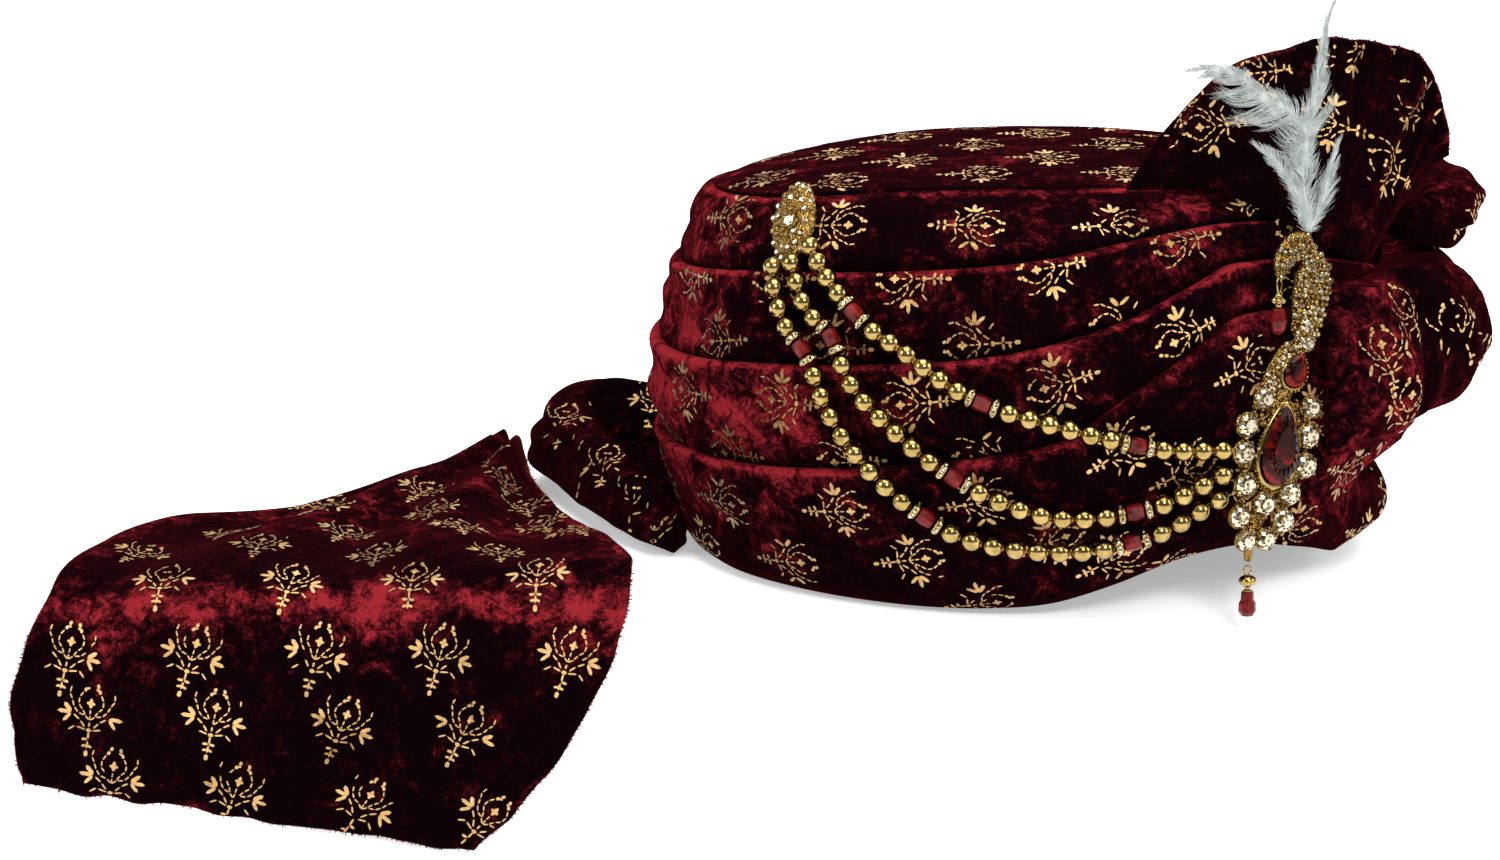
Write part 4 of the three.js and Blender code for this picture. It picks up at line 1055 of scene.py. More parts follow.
def motif_dashes(height):
    """Dashes of one motif, each with six corners."""
    dashes = []
    for mirrored, width, dash, stroke in MOTIF:
        for flip in (1, -1) if mirrored else (1,):
            points = np.array([(x * flip, y, 0) for x, y in stroke]) * height
            line = Line(route_through(points, 12) if len(points) > 2 else points)
            count = max(1, round(line.length / (dash * height * 1.25)))
            step = line.length / count
            for k in range(count):
                a, b = line.point(k * step + 0.06 * step), line.point((k + 0.9) * step)
                along = unit(b - a)
                side = np.array([-along[1], along[0], 0]) * width * height / 2
                q, r = a + 0.22 * (b - a), a + 0.78 * (b - a)
                dashes.append(np.array([a, q + side, r + side, b, r - side, q - side])[:, :2])
    return dashes


def stamp_motifs(name, cloth, places, seed):
    """Lays foil motifs on a cloth piece. A place is its centre, up and outward directions."""
    foil = bpy.context.scene.turban_foil
    mesh = cloth.data
    points = np.empty(len(mesh.vertices) * 3)
    mesh.vertices.foreach_get("co", points)
    corners = (points.reshape(-1, 3) / MM).tolist()
    tree = BVHTree.FromPolygons(corners, [p.vertices[:] for p in mesh.polygons])
    dashes = motif_dashes(foil.motif_height / MM)
    rng = np.random.default_rng(seed)
    verts, faces = [], []
    for centre, up, normal in places:
        normal, up = unit(normal), unit(up - unit(normal) * np.dot(up, unit(normal)))
        right = np.cross(up, normal)
        turn = rng.normal(0, 0.05)
        c, s = math.cos(turn), math.sin(turn)
        up, right = up * c + right * s, right * c - up * s
        for dash in dashes:
            if rng.random() < foil.worn_share:
                continue
            corners = []
            for x, y in dash:
                start = centre + right * x + up * y + normal * STAMP_START
                hit, face_normal, _, far = tree.ray_cast(Vector(start), Vector(-normal), STAMP_REACH)
                if hit is None or face_normal.dot(Vector(normal)) < STAMP_FACING:
                    break
                corners.append((hit + face_normal * (foil.foil_lift / MM), far))
            if len(corners) < 6 or max(c[1] for c in corners) - min(c[1] for c in corners) > STAMP_STEP:
                continue
            s = len(verts)
            verts += [tuple(corner) for corner, _ in corners]
            faces += [(s, s + 5, s + 1), (s + 1, s + 5, s + 4, s + 2), (s + 2, s + 4, s + 3)]
    if not verts:
        raise RuntimeError(f"{name}: no motif lies on the cloth")
    # The foil carries the cloth's nap with its painted sheen, which the foil finish turns into painted shade
    return add_piece(name, verts, faces, gold_foil(), smooth=False, nap=nap_at(verts))


# Cut edges


def frayed_edge(name, line, outward, normals, length, spacing, seed):
    """Short pile threads along a cut edge."""
    rng = np.random.default_rng(seed)
    line = np.asarray(line)
    steps = run_along(line)
    verts, faces = [], []
    for d in np.arange(0, steps[-1], spacing):
        for _ in range(3):
            at = d + rng.uniform(-spacing, spacing)
            rails = (line, outward, normals)
            p, o, n = (np.array([np.interp(at, steps, rail[:, k]) for k in range(3)]) for rail in rails)
            along = unit(np.cross(o, n))
            reach = length * rng.uniform(0.35, 1.25)
            lean = unit(o + along * rng.normal(0, 0.45) + n * rng.normal(0, 0.4))
            root = p - o * 0.8 + n * rng.uniform(-0.9, 0.9)
            wide = along * rng.uniform(0.12, 0.26)
            mid, tip = root + lean * reach * 0.6, root + lean * reach + n * rng.normal(0, 0.3)
            s = len(verts)
            verts += [root - wide, root + wide, mid + wide * 0.8, mid - wide * 0.8, tip]
            faces += [(s, s + 1, s + 2, s + 3), (s + 3, s + 2, s + 4)]
    return add_piece(name, verts, faces, frayed_pile())


# Stage


def link_object(scene, name, data):
    thing = bpy.data.objects.new(name, data)
    scene.collection.objects.link(thing)
    return thing


def turn_toward(thing, target):
    thing.rotation_euler = (Vector(target) - thing.location).to_track_quat("-Z", "Y").to_euler()


class TurbanStage(bpy.types.Operator):
    """Pale floor, soft lights and the camera"""

    bl_idname = "turban.stage"
    bl_label = "Stage"

    def execute(self, context):
        scene = context.scene
        sizes = scene.turban_stage
        self.floor(scene, sizes)
        self.lights(scene, sizes)
        camera = bpy.data.cameras.new("camera")
        camera.lens = sizes.lens
        camera.sensor_width = 36
        camera.clip_end = 20
        scene.camera = link_object(scene, "camera", camera)
        scene.camera.location = CAMERA_PLACE
        turn_toward(scene.camera, CAMERA_AIM)
        scene.view_settings.view_transform = "Standard"
        return {"FINISHED"}

    def floor(self, scene, sizes):
        """Upper floor with a rounded edge, and the lower floor in front of it."""
        edge, drop = sizes.edge_place, sizes.lower_floor
        bends = [(1 - math.sin(a), 1 - math.cos(a)) for a in np.linspace(0, np.pi / 2, 8)[1:]]
        profile = [(FLOOR_REACH, FLOOR_TOP), (edge + EDGE_ROUND, FLOOR_TOP)]
        profile += [(edge + EDGE_ROUND * s, FLOOR_TOP - EDGE_ROUND * c) for s, c in bends]
        profile += [(edge, drop + FOOT_ROUND)]
        profile += [(edge - FOOT_ROUND * c, drop + FOOT_ROUND * s) for s, c in bends]
        profile += [(-FLOOR_REACH, drop)]
        verts = [(x, y, z) for y, z in profile for x in (-FLOOR_REACH, FLOOR_REACH)]
        faces = [(2 * i, 2 * i + 1, 2 * i + 3, 2 * i + 2) for i in range(len(profile) - 1)]
        mesh = bpy.data.meshes.new("floor")
        mesh.from_pydata(verts, [], faces)
        mesh.shade_smooth()
        mesh.materials.append(pale_floor())
        link_object(scene, "floor", mesh)

    def lights(self, scene, sizes):
        for name, place, size, power in LAMPS:
            lamp = bpy.data.lights.new(name, "AREA")
            lamp.size = size
            lamp.energy = power * sizes.light_power
            light = link_object(scene, name, lamp)
            light.location = place
            turn_toward(light, LAMPS_AIM)
        sun = bpy.data.lights.new("sky_light", "SUN")
        sun.energy = SKY_STRENGTH
        sun.angle = math.radians(50)
        link_object(scene, "sky_light", sun).rotation_euler = (math.radians(12), 0, 0)
        scene.world = bpy.data.worlds.new("pale_room")
        scene.world.use_nodes = True
        room = scene.world.node_tree.nodes["Background"]
        room.inputs["Color"].default_value = (1, 1, 1, 1)
        room.inputs["Strength"].default_value = sizes.room_light


# Velvet pieces


def add_velvet(name, points, faces, node, nap):
    return add_piece(name, points, faces, crushed_velvet(), (node,), nap=nap)


class TurbanWraps(bpy.types.Operator):
    """Wound bands of velvet with their folded lips, and the motifs on them"""

    bl_idname = "turban.wraps"
    bl_label = "Wraps"

    def execute(self, context):
        wrinkle = context.scene.turban_velvet.wrinkle_depth
        for number, (lower, upper) in enumerate(zip(FOLD_ORDER, FOLD_ORDER[1:]), 1):
            phi, v, z, out, rise = wrap_grid(lower, upper)
            out = out + wound_relief(number, phi, v, rise) * wrinkle / MM
            out = out + body_lumps(phi[None, :], z) * np.clip(8 * v * (1.05 - v), 0, 1)
            skin = on_body(phi, z, out)
            step = 0 if lower == "rim" else GAP
            seams = (seam_height(upper, phi), seam_height(lower, phi) + step)
            rings = np.concatenate([skin, np.array([on_cap(phi, seam, GAP) for seam in seams])])
            rows, columns = rings.shape[:2]
            faces = grid_faces(rows, columns, closed=True)
            last = (rows - 1) * columns
            faces += [[last + j, last + (j + 1) % columns, (j + 1) % columns, j] for j in range(columns)]
            # Painted highlight along each band's upper lip and painted shade at its foot, under the lip of
            # the band below
            lip = 0.5 * bell(v, 0.98, 0.035) - 0.3 * bell(v, 0, 0.16)
            nap = np.concatenate([nap_at(skin, lip), np.zeros((2, columns))])
            wrap = add_velvet(f"velvet_wrap_{number}", rings, faces, f"wrap_{number}", nap)
            places = self.places(number, lower, upper, context.scene.turban_foil)
            stamp_motifs(f"foil_wrap_{number}", wrap, places, number)
        return {"FINISHED"}

    def places(self, number, lower, upper, foil):
        """Half-drop lattice along a band."""
        phi = np.linspace(-180, 180, 721)
        arc = run_along(on_body(phi, (fold_height(lower, phi) + fold_height(upper, phi)) / 2, LIP_PROUD))
        along, across = lattice_steps(foil)
        way, phase, under = LATTICE[number]
        places = []
        for row in range(-1, 4):
            for s in np.arange(phase + along / 2 * (row % 2), arc[-1] - along / 3, along):
                at = float(np.interp(s, arc, phi))
                top, foot = float(fold_height(upper, at)), float(fold_height(lower, at))
                z = top - under - across * row
                if not foot - 6 < z < top + 4:
                    continue
                here = on_body(at, z, LIP_PROUD)
                climb = float(fold_height(upper, at + 1) - fold_height(upper, at))
                tangent = unit(on_body(at + 1, z + climb, LIP_PROUD) - here)
                normal = unit(np.cross(tangent, on_body(at, z + 1, LIP_PROUD) - here))
                places.append((here, way * tangent, normal))
        return places


class TurbanCrown(bpy.types.Operator):
    """Domed top with its lengthwise pleats, and the lined hollow under it"""

    bl_idname = "turban.crown"
    bl_label = "Crown"

    def execute(self, context):
        phi = np.linspace(-180, 180, 240, endpoint=False)
        self.dome(phi, context.scene.turban_foil)
        self.hollow(phi)
        return {"FINISHED"}

    def dome(self, phi, foil):
        """Pleated top, whose edge is soft at the back, with its motifs."""
        soft = bell(phi, -155, 30) + bell(phi, 205, 30)
        shoulder = fold_height("four", phi) + GAP + 0.7 * soft
        edge = on_body(phi, shoulder, -LIP_RECESS + 2.6 * soft)
        rows = []
        for share in np.linspace(0.02, 1, 60):
            x, y = edge[:, 0] * share, edge[:, 1] * share
            z = shoulder + (BODY_HEIGHT - shoulder) * read_table(DOME, "out", "rise", share)
            rows.append(np.stack([x, y, z + self.pleats(x, y) * min(1, 4 * (1 - share))], -1))
        rows.append(on_cap(phi, seam_height("four", phi) + GAP, 0))
        points, faces = closed_rings(rows)
        dome = add_velvet("velvet_crown", points, faces, "crown", nap_at(points, -0.02))
        places = []
        along, across = lattice_steps(foil)
        for row, y in enumerate(np.arange(-66, 70, across)):
            for x in np.arange(-104 + along / 2 * (row % 2), 100, along):
                z, share = dome_height(np.array(x), np.array(y))
                if share < 0.97:
                    places.append((np.array([x, y, float(z)]), np.array([1.0, 0, 0]), UP))
        stamp_motifs("foil_crown", dome, places, 9)

    def hollow(self, phi):
        """Cap between the wraps and the head, open below."""
        outer = []
        for fold in FOLD_ORDER[::-1]:
            outer.append(on_cap(phi, seam_height(fold, phi) + (GAP if fold == "four" else 0), -0.02))
        turn = np.radians(phi)
        inner = []
        for share in HOLLOW_ROWS:
            long = HEAD_LENGTH / 2 * read_table(HOLLOW, "height", "long", share)
            wide = HEAD_WIDTH / 2 * read_table(HOLLOW, "height", "wide", share)
            z = np.maximum(share * HOLLOW_DEPTH, fold_height("rim", phi) + CAP_WALL * 0.6 + share)
            inner.append(np.stack([long * np.cos(turn), wide * np.sin(turn), z], -1))
        inner.append(inner[-1] * (0.2, 0.2, 1))
        inner[-1][:, 2] = HOLLOW_DEPTH - 0.2
        points, faces = closed_rings(outer + inner)
        add_piece("lined_hollow", points, faces, cap_lining(), ("crown",))

    def pleats(self, x, y):
        """Soft ridges that run lengthwise over the top."""
        p = np.stack([x, y, 0 * x], -1)
        way = y + 5 * soft_noise(p * (0.5, 1, 1), 40, 8) + 0.05 * x
        ridge = 0.75 * np.abs(np.sin(np.pi * way / 17)) ** 0.7
        return ridge - 0.4 + 0.5 * soft_noise(p * (0.4, 1, 1), 12, 11)


class TurbanGather(bpy.types.Operator):
    """Puffed cloth at the front, and the roll above it"""

    bl_idname = "turban.front_gather"
    bl_label = "Front gather and roll"

    def execute(self, context):
        self.puff()
        self.roll()
        return {"FINISHED"}

    def puff(self):
        """Gathered puff, flat against the wraps behind."""
        clear = LIP_PROUD + 3.5 * GAP
        columns, rows = 150, 60
        low, high = GATHER_RISE["height"][[0, -1]]
        phi = np.linspace(GATHER["phi"][0], GATHER["phi"][-1], columns)
        share = np.linspace(low, high, rows)
        swell = read_table(GATHER, "phi", "out", phi)[:, None]
        bulge = read_table(GATHER_RISE, "height", "out", share)[None, :]
        height, turn = np.broadcast_arrays(share[None, :] * BODY_HEIGHT, phi[:, None])
        flat = np.stack([turn * 1.6, height, 0 * height], -1)
        body = np.clip(12 * (share - low) * (0.78 - share) / 0.16, 0, 1)[None, :]
        slant = turn + 0.14 * (height - 85)
        fold = 1.5 * np.sin(2 * np.pi * slant / 9.5 + 1.6 * soft_noise(flat, 22, 4))
        fold = fold + 1.8 * soft_noise(flat * (1, 0.5, 1), 12, 6)
        fold += 2.2 * soft_noise(flat, 26, 8)
        fold += 0.5 * soft_noise(flat, 4.5, 7)
        out = clear + 1.2 + GATHER_BULGE * swell * bulge + fold * body * np.clip(swell * 2, 0, 1)
        outer = on_body(turn, height, np.maximum(out, clear + 0.8))
        inner = on_body(turn, height, clear + 0 * height)[:, ::-1]
        points, faces = closed_rings(np.concatenate([outer, inner], axis=1))
        # Painted shade in the fold at -26 degrees and a painted highlight on the ridge at -36 degrees
        shade_valley, ridge = -0.5 * bell(turn, -26, 4.5), 0.16 * bell(turn, -36, 6) - 0.03
        nap = np.concatenate([nap_at(outer, shade_valley + ridge), nap_at(inner)], axis=1)
        nap = np.concatenate([nap.ravel(), [0.3, 0.3]])
        puff = add_velvet("velvet_gather", points, faces, "front_gather", nap)
        places = []
        for at, level, lean in GATHER_MOTIFS:
            stand = clear + GATHER_BULGE * float(read_table(GATHER, "phi", "out", at))
            normal = np.array([math.cos(math.radians(at)), math.sin(math.radians(at)) * 1.2, 0.1])
            up = np.array([math.sin(lean) * 0.5, -math.sin(lean), math.cos(lean)])
            places.append((on_body(at, level * BODY_HEIGHT, stand), up, normal))
        stamp_motifs("foil_gather", puff, places, 12)

    def roll(self):
        """Twisted roll beside the foot of the fan."""
        reach, clear = ROLL_THICK / 2, LIP_PROUD + 3 * GAP
        phi = np.linspace(ROLL["phi"][0], ROLL["phi"][-1], 90)
        height, thick, stand = (read_table(ROLL, "phi", field, phi) for field in ("height", "thick", "stand"))
        centres = on_body(phi, height * BODY_HEIGHT, clear + ROLL_STAND * stand + reach * thick)
        along = unit(np.gradient(centres, axis=0))
        out = unit(np.stack([np.cos(np.radians(phi)) / 120, np.sin(np.radians(phi)) / 95, 0 * phi], -1))
        up = unit(np.cross(out, along))
        t = np.linspace(0, 2 * np.pi, 72, endpoint=False)
        flat = round_places(t[None, :], 40, 1.6 * phi[:, None])
        twist = t[None, :] + phi[:, None] * 0.05
        fold = 0.07 * np.sin(3 * twist) + 0.05 * np.sin(7 * twist + 1.5 * soft_noise(flat, 30, 2))
        fold = fold + 0.05 * soft_noise(flat, 14, 3)
        size = 0.93 + fold - 0.22 * bell(t[None, :] + 0.01 * phi[:, None], 5.6, 0.22)
        a = reach * thick[:, None] * size * np.cos(t)
        b = reach * thick[:, None] * size * np.sin(t)
        rings = centres[:, None] + a[..., None] * out[:, None] + b[..., None] * up[:, None]
        points, faces = closed_rings(rings)
        roll = add_velvet("velvet_roll", points, faces, "side_roll", nap_at(points, -0.04))
        places = []
        for at, tip in ROLL_MOTIFS:
            i = int(np.argmin(abs(phi - at)))
            normal = out[i] * math.cos(tip) + np.array([0, -0.35, 0.6]) * math.sin(tip) + (0, -0.3, 0)
            places.append((centres[i] + out[i] * reach, up[i] * 0.7 + along[i] * 0.7, normal))
        stamp_motifs("foil_roll", roll, places, 14)


class TurbanFan(bpy.types.Operator):
    """Pleated fan of cloth that stands up at the front"""

    bl_idname = "turban.fan"
    bl_label = "Fan"

    def execute(self, context):
        grid, u = self.grid()
        rows, columns = grid.shape[:2]
        points, faces = thick_sheet(grid, CLOTH_THICK * 0.8)
        up = np.linspace(0, 1, rows)[:, None]
        # Painted highlight along the top edge, on the pleat ridges and on the side toward the gather; painted
        # shade over the middle of the fan
        edge = 0.34 * bell(up, 1, 0.025) - 0.3 * bell(up, 0.5, 0.36) + 0 * u[None, :]
        for a, b, d in zip(*FAN_RIDGES.values()):
            edge = edge + 0.11 * d * bell(u[None, :] - a, b * (1 - up), 0.01) * np.clip(3 * up, 0, 1)
        edge += 0.2 * bell(u[None, :], 0.9, 0.07) * up
        nap = np.tile(nap_at(grid, edge - 0.16).ravel(), 2)
        fan = add_velvet("velvet_fan", points, faces, "fan", nap)
        normals = -grid_normals(grid)
        sides = (("foil_fan", FAN_MOTIFS, -1, 17), ("foil_fan_back", FAN_BACK_MOTIFS, 1, 18))
        for name, spots, toward, seed in sides:
            places = []
            for i, j in spots:
                a, b = int(i * (rows - 1)), int(j * (columns - 1))
                normal = normals[a, b] if normals[a, b, 1] * toward > 0 else -normals[a, b]
                if toward < 0:
                    stem = grid[a, max(b - 6, 0)] - grid[a, min(b + 6, columns - 1)]
                else:
                    stem = grid[min(a + 6, rows - 1), b] - grid[a - 6, b]
                places.append((grid[a, b], stem, normal))
            stamp_motifs(name, fan, places, seed)
        frayed_edge("frayed_fan", grid[-1], unit(grid[-1] - grid[-4]), normals[-1], 1.7, 0.55, 4)
        return {"FINISHED"}

    def grid(self, rows=70, columns=170):
        """Middle surface of the fan, from its foot to its ragged edge."""
        phi = np.linspace(FAN["phi"][0], FAN["phi"][-1], columns)
        read = {k: read_table(FAN, "phi", k, phi) for k in FAN if k != "phi"}
        clear = LIP_PROUD + 0.75 * CLOTH_THICK
        foot = on_body(phi, read["height"] * BODY_HEIGHT, clear)
        foot[:, :2] *= 1 - read["inset"][:, None]
        pivot = on_body(FAN_PIVOT[0], FAN_PIVOT[1] * BODY_HEIGHT, clear)
        reach = (FAN_REACH * read["tipX"], FAN_LEAN * read["tipY"], FAN_REACH * read["tipZ"])
        tip = pivot + np.stack(reach, -1)
        u = np.linspace(0, 1, columns)
        grid = []
        for t in np.linspace(0, 1, rows):
            ragged = 1.1 * soft_noise(np.stack([u * 160, 0 * u, 0 * u], -1), 9, 2) * t
            point = foot + (tip + unit(tip - foot) * ragged[:, None] - foot) * t
            belly = math.sin(math.pi * t)
            point[:, 2] += FAN_ARCH * belly
            flat = np.stack([u * 150, 0 * u + t * 60, 0 * u], -1)
            soft = 1.3 * soft_noise(flat * (1, 0.45, 1), 16, 5) + 0.5 * soft_noise(flat * (1, 0.6, 1), 6, 6)
            ridge = sum(d * bell(u - a, b * (1 - t), 0.018) for a, b, d in zip(*FAN_RIDGES.values()))
            pleat = PLEAT_DEPTH * np.sin(10 * np.pi * u) * t * 0.7 - ridge * min(1, 1.6 * t)
            point[:, 1] += FAN_DISH * belly * (2 * t - 0.6) + pleat + soft * min(1, 3 * t)
            grid.append(point)
        return np.array(grid), u


def tail_grid(rows=130, columns=120):
    """Middle surface of the tail, from its back to its hanging hem."""
    at = np.linspace(0, 1, rows)
    read = {k: read_table(TAIL, "at", k, at)[:, None] for k in TAIL if k != "at"}
    t = np.linspace(0, 1, columns)[None, :]
    fold = np.sin(np.pi * t) * read["lift"]
    ridge = RIDGE_SHARE * np.sin(6 * np.pi * t + 5 * at[:, None]) * (1 - 0.6 * at[:, None])
    lift = TAIL_RISE * (fold + ridge)
    laid = np.clip((0.62 - at) / 0.2, 0, 1)
    laid = (laid * laid * (3 - 2 * laid))[:, None]
    x, y, z = (read["left" + axis] * (1 - t) + read["right" + axis] * t for axis in "XYZ")
    x = LEFT_SIDE + TAIL_WIDTH * x
    y = TAIL_RUN * y - lift * (1 - laid) * 0.5
    z = TAIL_HANG * z + lift * laid
    grid = np.stack([x, y, z], -1)
    flat = np.stack([t * 200 + 0 * x, at[:, None] * 260 + 0 * x, 0 * x], -1)
    soft = 2.2 * soft_noise(flat * (0.8, 1, 1), 42, 3)
    soft = soft + 1.0 * soft_noise(flat, 17, 4) + 0.35 * soft_noise(flat, 6, 5)
    inside = np.clip(np.minimum(at, 1 - at) * 10 + 0.25, 0, 1)[:, None]
    grid = grid + grid_normals(grid) * (soft * inside)[..., None]
    edge = 1.4 * soft_noise(flat, 12, 9)
    grid[..., 2] += edge * np.clip((at - 0.9) * 10, 0, 1)[:, None]
    side = np.clip((0.04 - t) * 25, 0, 1) - np.clip((t - 0.96) * 25, 0, 1)
    grid[..., 0] += edge * side * 0.8
    return grid


class TurbanTail(bpy.types.Operator):
    """Loose tail that lies at the back and hangs over the edge"""

    bl_idname = "turban.tail"
    bl_label = "Tail"

    def execute(self, context):
        grid = tail_grid()
        points, faces = thick_sheet(grid, CLOTH_THICK * 0.8)
        # The tail's nap takes its painted sheen and shade from the method below
        nap = np.tile(nap_at(grid, self.brushed(*grid.shape[:2])).ravel(), 2)
        tail = add_velvet("velvet_tail", points, faces, "tail", nap)
        normals = grid_normals(grid)
        if normals[len(grid) // 3, grid.shape[1] // 2, 2] < 0:
            normals = -normals
        stamp_motifs("foil_tail", tail, self.places(grid, normals, context.scene.turban_foil), 21)
        left, right = unit(grid[:, 0] - grid[:, 3]), unit(grid[:, -1] - grid[:, -4])
        frayed_edge("frayed_hem", grid[-1], unit(grid[-1] - grid[-4]), normals[-1], 2.0, 0.6, 1)
        frayed_edge("frayed_left", grid[:, 0], left, normals[:, 0], 2.0, 0.6, 2)
        frayed_edge("frayed_right", grid[:, -1], right, normals[:, -1], 2.0, 0.6, 3)
        return {"FINISHED"}

    def brushed(self, rows, columns):
        """Painted sheen on the bend, painted shade on the front and behind the bend, painted highlights on
        two creases and the edges.
        """
        at, t = np.linspace(0, 1, rows)[:, None], np.linspace(0, 1, columns)[None, :]
        bend = 0.7 * bell(at, 0.6, 0.05) + 0.16 * bell(at, 0.3, 0.24)
        shade_valley = 0.34 * np.exp(-(((at - 0.46) / 0.06) ** 2) - ((t - 0.42) / 0.3) ** 2)
        front = -0.26 * np.clip((at - 0.66) * 9, 0, 1) - shade_valley
        upper, lower = np.clip((at - 0.6) * 12, 0, 1), np.clip((0.86 - at) * 12, 0, 1)
        crease_highlight = 0.42 * bell(t - 0.13, 0.35 * (at - 0.68), 0.035) * upper * lower
        crease_highlight += 0.36 * bell(t - 0.95, -1.15 * (at - 0.68), 0.04) * np.clip((at - 0.66) * 12, 0, 1)
        rim = 0.2 * bell(np.minimum(t, 1 - t), 0, 0.03) + 0.25 * bell(at, 1, 0.02)
        return bend + front + crease_highlight + rim - 0.1

    def places(self, grid, normals, foil):
        """Half-drop lattice counted up from the hem."""
        rows, columns = grid.shape[:2]
        down = run_along(grid[:, columns // 2])
        wide = np.linalg.norm(np.diff(grid, axis=1), axis=-1).sum(1)
        step = foil.column_spacing / MM
        places = []
        for row, d in enumerate(np.arange(down[-1] - 8, 8, -1.1 * foil.row_spacing / MM)):
            i = int(np.interp(d, down, np.arange(rows)))
            start = 0.022 * row * TAIL_WIDTH + step / 2 * (row % 2) - 4.1 * step - 0.02 * TAIL_WIDTH
            for across in np.arange(start, 0.5 * TAIL_WIDTH, step):
                s = 0.5 + across / wide[i]
                if 0.02 < s < 0.99:
                    j = int(s * (columns - 1))
                    up = grid[max(i - 3, 0), j] - grid[min(i + 3, rows - 1), j]
                    places.append((grid[i, j], up, normals[i, j]))
        return places


class TurbanTailLoop(bpy.types.Operator):
    """Twisted loop where the tail leaves the rim"""

    bl_idname = "turban.tail_loop"
    bl_label = "Tail loop"

    def execute(self, context):
        reach, run, lift = LOOP_REACH * LOOP["out"], TAIL_RUN * LOOP["along"], LOOP_LIFT * LOOP["height"]
        line = Line(route_through(np.stack([LEFT_SIDE - reach, run, lift], -1)))
        t = np.linspace(0, 2 * np.pi, 84, endpoint=False)
        rings = []
        for at in np.linspace(0, 1, 100):
            centre, along = line.point(at * line.length), line.inner_way(at * line.length)
            out = unit(np.cross((0, 0, 1), along))
            up = unit(np.cross(along, out))
            flat = round_places(t, 20, at * 150)
            size = 1 + RIDGE_SHARE * np.cos(t * 3 + math.pi * at)
            size = size + 0.06 * np.cos(8 * t + 5 * at + 1.3 * soft_noise(flat, 22, 1))
            size = size + 0.05 * soft_noise(flat, 8, 2)
            radius = LOOP_THICK / 2 * float(read_table(LOOP, "at", "thick", at)) * 0.97 * size
            rings.append(centre + np.outer(radius * np.cos(t), out) + np.outer(radius * np.sin(t), up))
        rings = np.array(rings)
        rings[..., 2] = np.maximum(rings[..., 2], LOOP_FLOOR)
        web = self.web(rings.mean(1))
        points, faces = gather_parts([closed_rings(rings), web])
        points[:, 2] = np.maximum(points[:, 2], LOOP_FLOOR)
        nap = nap_at(points, -0.14)
        # Painted shade: the web in the loop's hollow is darkened
        nap[-len(web[0]):] *= 0.3
        loop = add_velvet("velvet_loop", points, faces, "tail_loop", nap)
        places = []
        for at, tip in LOOP_MOTIFS:
            normal = np.array([-0.1, -math.cos(tip), math.sin(tip)])
            places.append((rings[int(at * 99)].mean(0) + normal * 13, np.array([0.1, 0.2, 1.0]), normal))
        stamp_motifs("foil_loop", loop, places, 25)
        return {"FINISHED"}

    def web(self, route):
        """Folded cloth that closes the loop's middle, which is given painted shade in the hollow."""
        middle = route.mean(0)
        rows = [(s, 2.0 - 9 * (1 - s)) for s in (0.04, 0.35, 0.7, 0.95)]
        rows += [(s, -3.0 - 9 * (1 - s)) for s in (0.95, 0.6, 0.1)]
        return closed_rings([middle + (route - middle) * s + (0, 0, lift) for s, lift in rows])


# Strings and brooches


class TurbanStrings(bpy.types.Operator):
    """Gold bead strings with red cylinders between stone-set rondelles"""

    bl_idname = "turban.bead_strings"
    bl_label = "Bead strings"

    def execute(self, context):
        for name, (runs, route) in STRINGS.items():
            phi, share = np.array(route).T
            line = Line(route_through(on_body(phi, share * BODY_HEIGHT, LIP_PROUD + BEAD_RADIUS + GAP)))
            spots, total = self.spots(runs)
            scale = line.length / total
            gold, red, stones = [], [], []
            for kind, at, length in spots:
                middle = (at + length * (0.48 if kind == "bead" else 0.5)) * scale
                centre, along = line.point(middle), line.along(middle)
                if kind == "bead":
                    gold.append(ball(centre, along, min(BEAD_RADIUS * 1.1, BEAD_PITCH * scale * 0.49)))
                    gold.append(turned(centre + along * BEAD_PITCH * 0.46, along, NECK, 12))
                elif kind == "cylinder":
                    red.append(turned(centre, along, [(length / 2 * d, r) for d, r in CYLINDER], 8))
                else:
                    gold.append(turned(centre, along, [(length / 2 * d, r) for d, r in RONDELLE], 24))
                    stones += self.ring_of_stones(centre, along)
            add_parts(f"gold_{name}", gold, polished_gold(), (name,))
            add_parts(f"red_{name}", red, red_glass(), smooth=False)
            add_parts(f"stones_{name}", stones, cut_crystal(), smooth=False)
        return {"FINISHED"}

    def spots(self, runs):
        """Beads, rondelles and cylinders of a string: kind, start and length."""
        marker = (("rondelle", RONDELLE_LENGTH), ("cylinder", CYLINDER_LENGTH), ("rondelle", RONDELLE_LENGTH))
        spots, at = [], 0.0
        for i, count in enumerate(runs):
            last = i == len(runs) - 1
            for kind, length in (("bead", BEAD_PITCH),) * count + (() if last else marker):
                spots.append((kind, at, length))
                at += length
            at += 0 if last else MARKER_SLACK
        return spots, at

    def ring_of_stones(self, centre, along):
        side = unit(np.cross(along, (0.3, 0.2, 0.9)))
        stones = []
        for k in range(12):
            a = 2 * math.pi * k / 12
            out = side * math.cos(a) + np.cross(along, side) * math.sin(a)
            stones.append(turned(centre + out * 2.75, out, ((0, 0.72), (0.35, 0.78), (0.62, 0.35)), 6))
        return stones


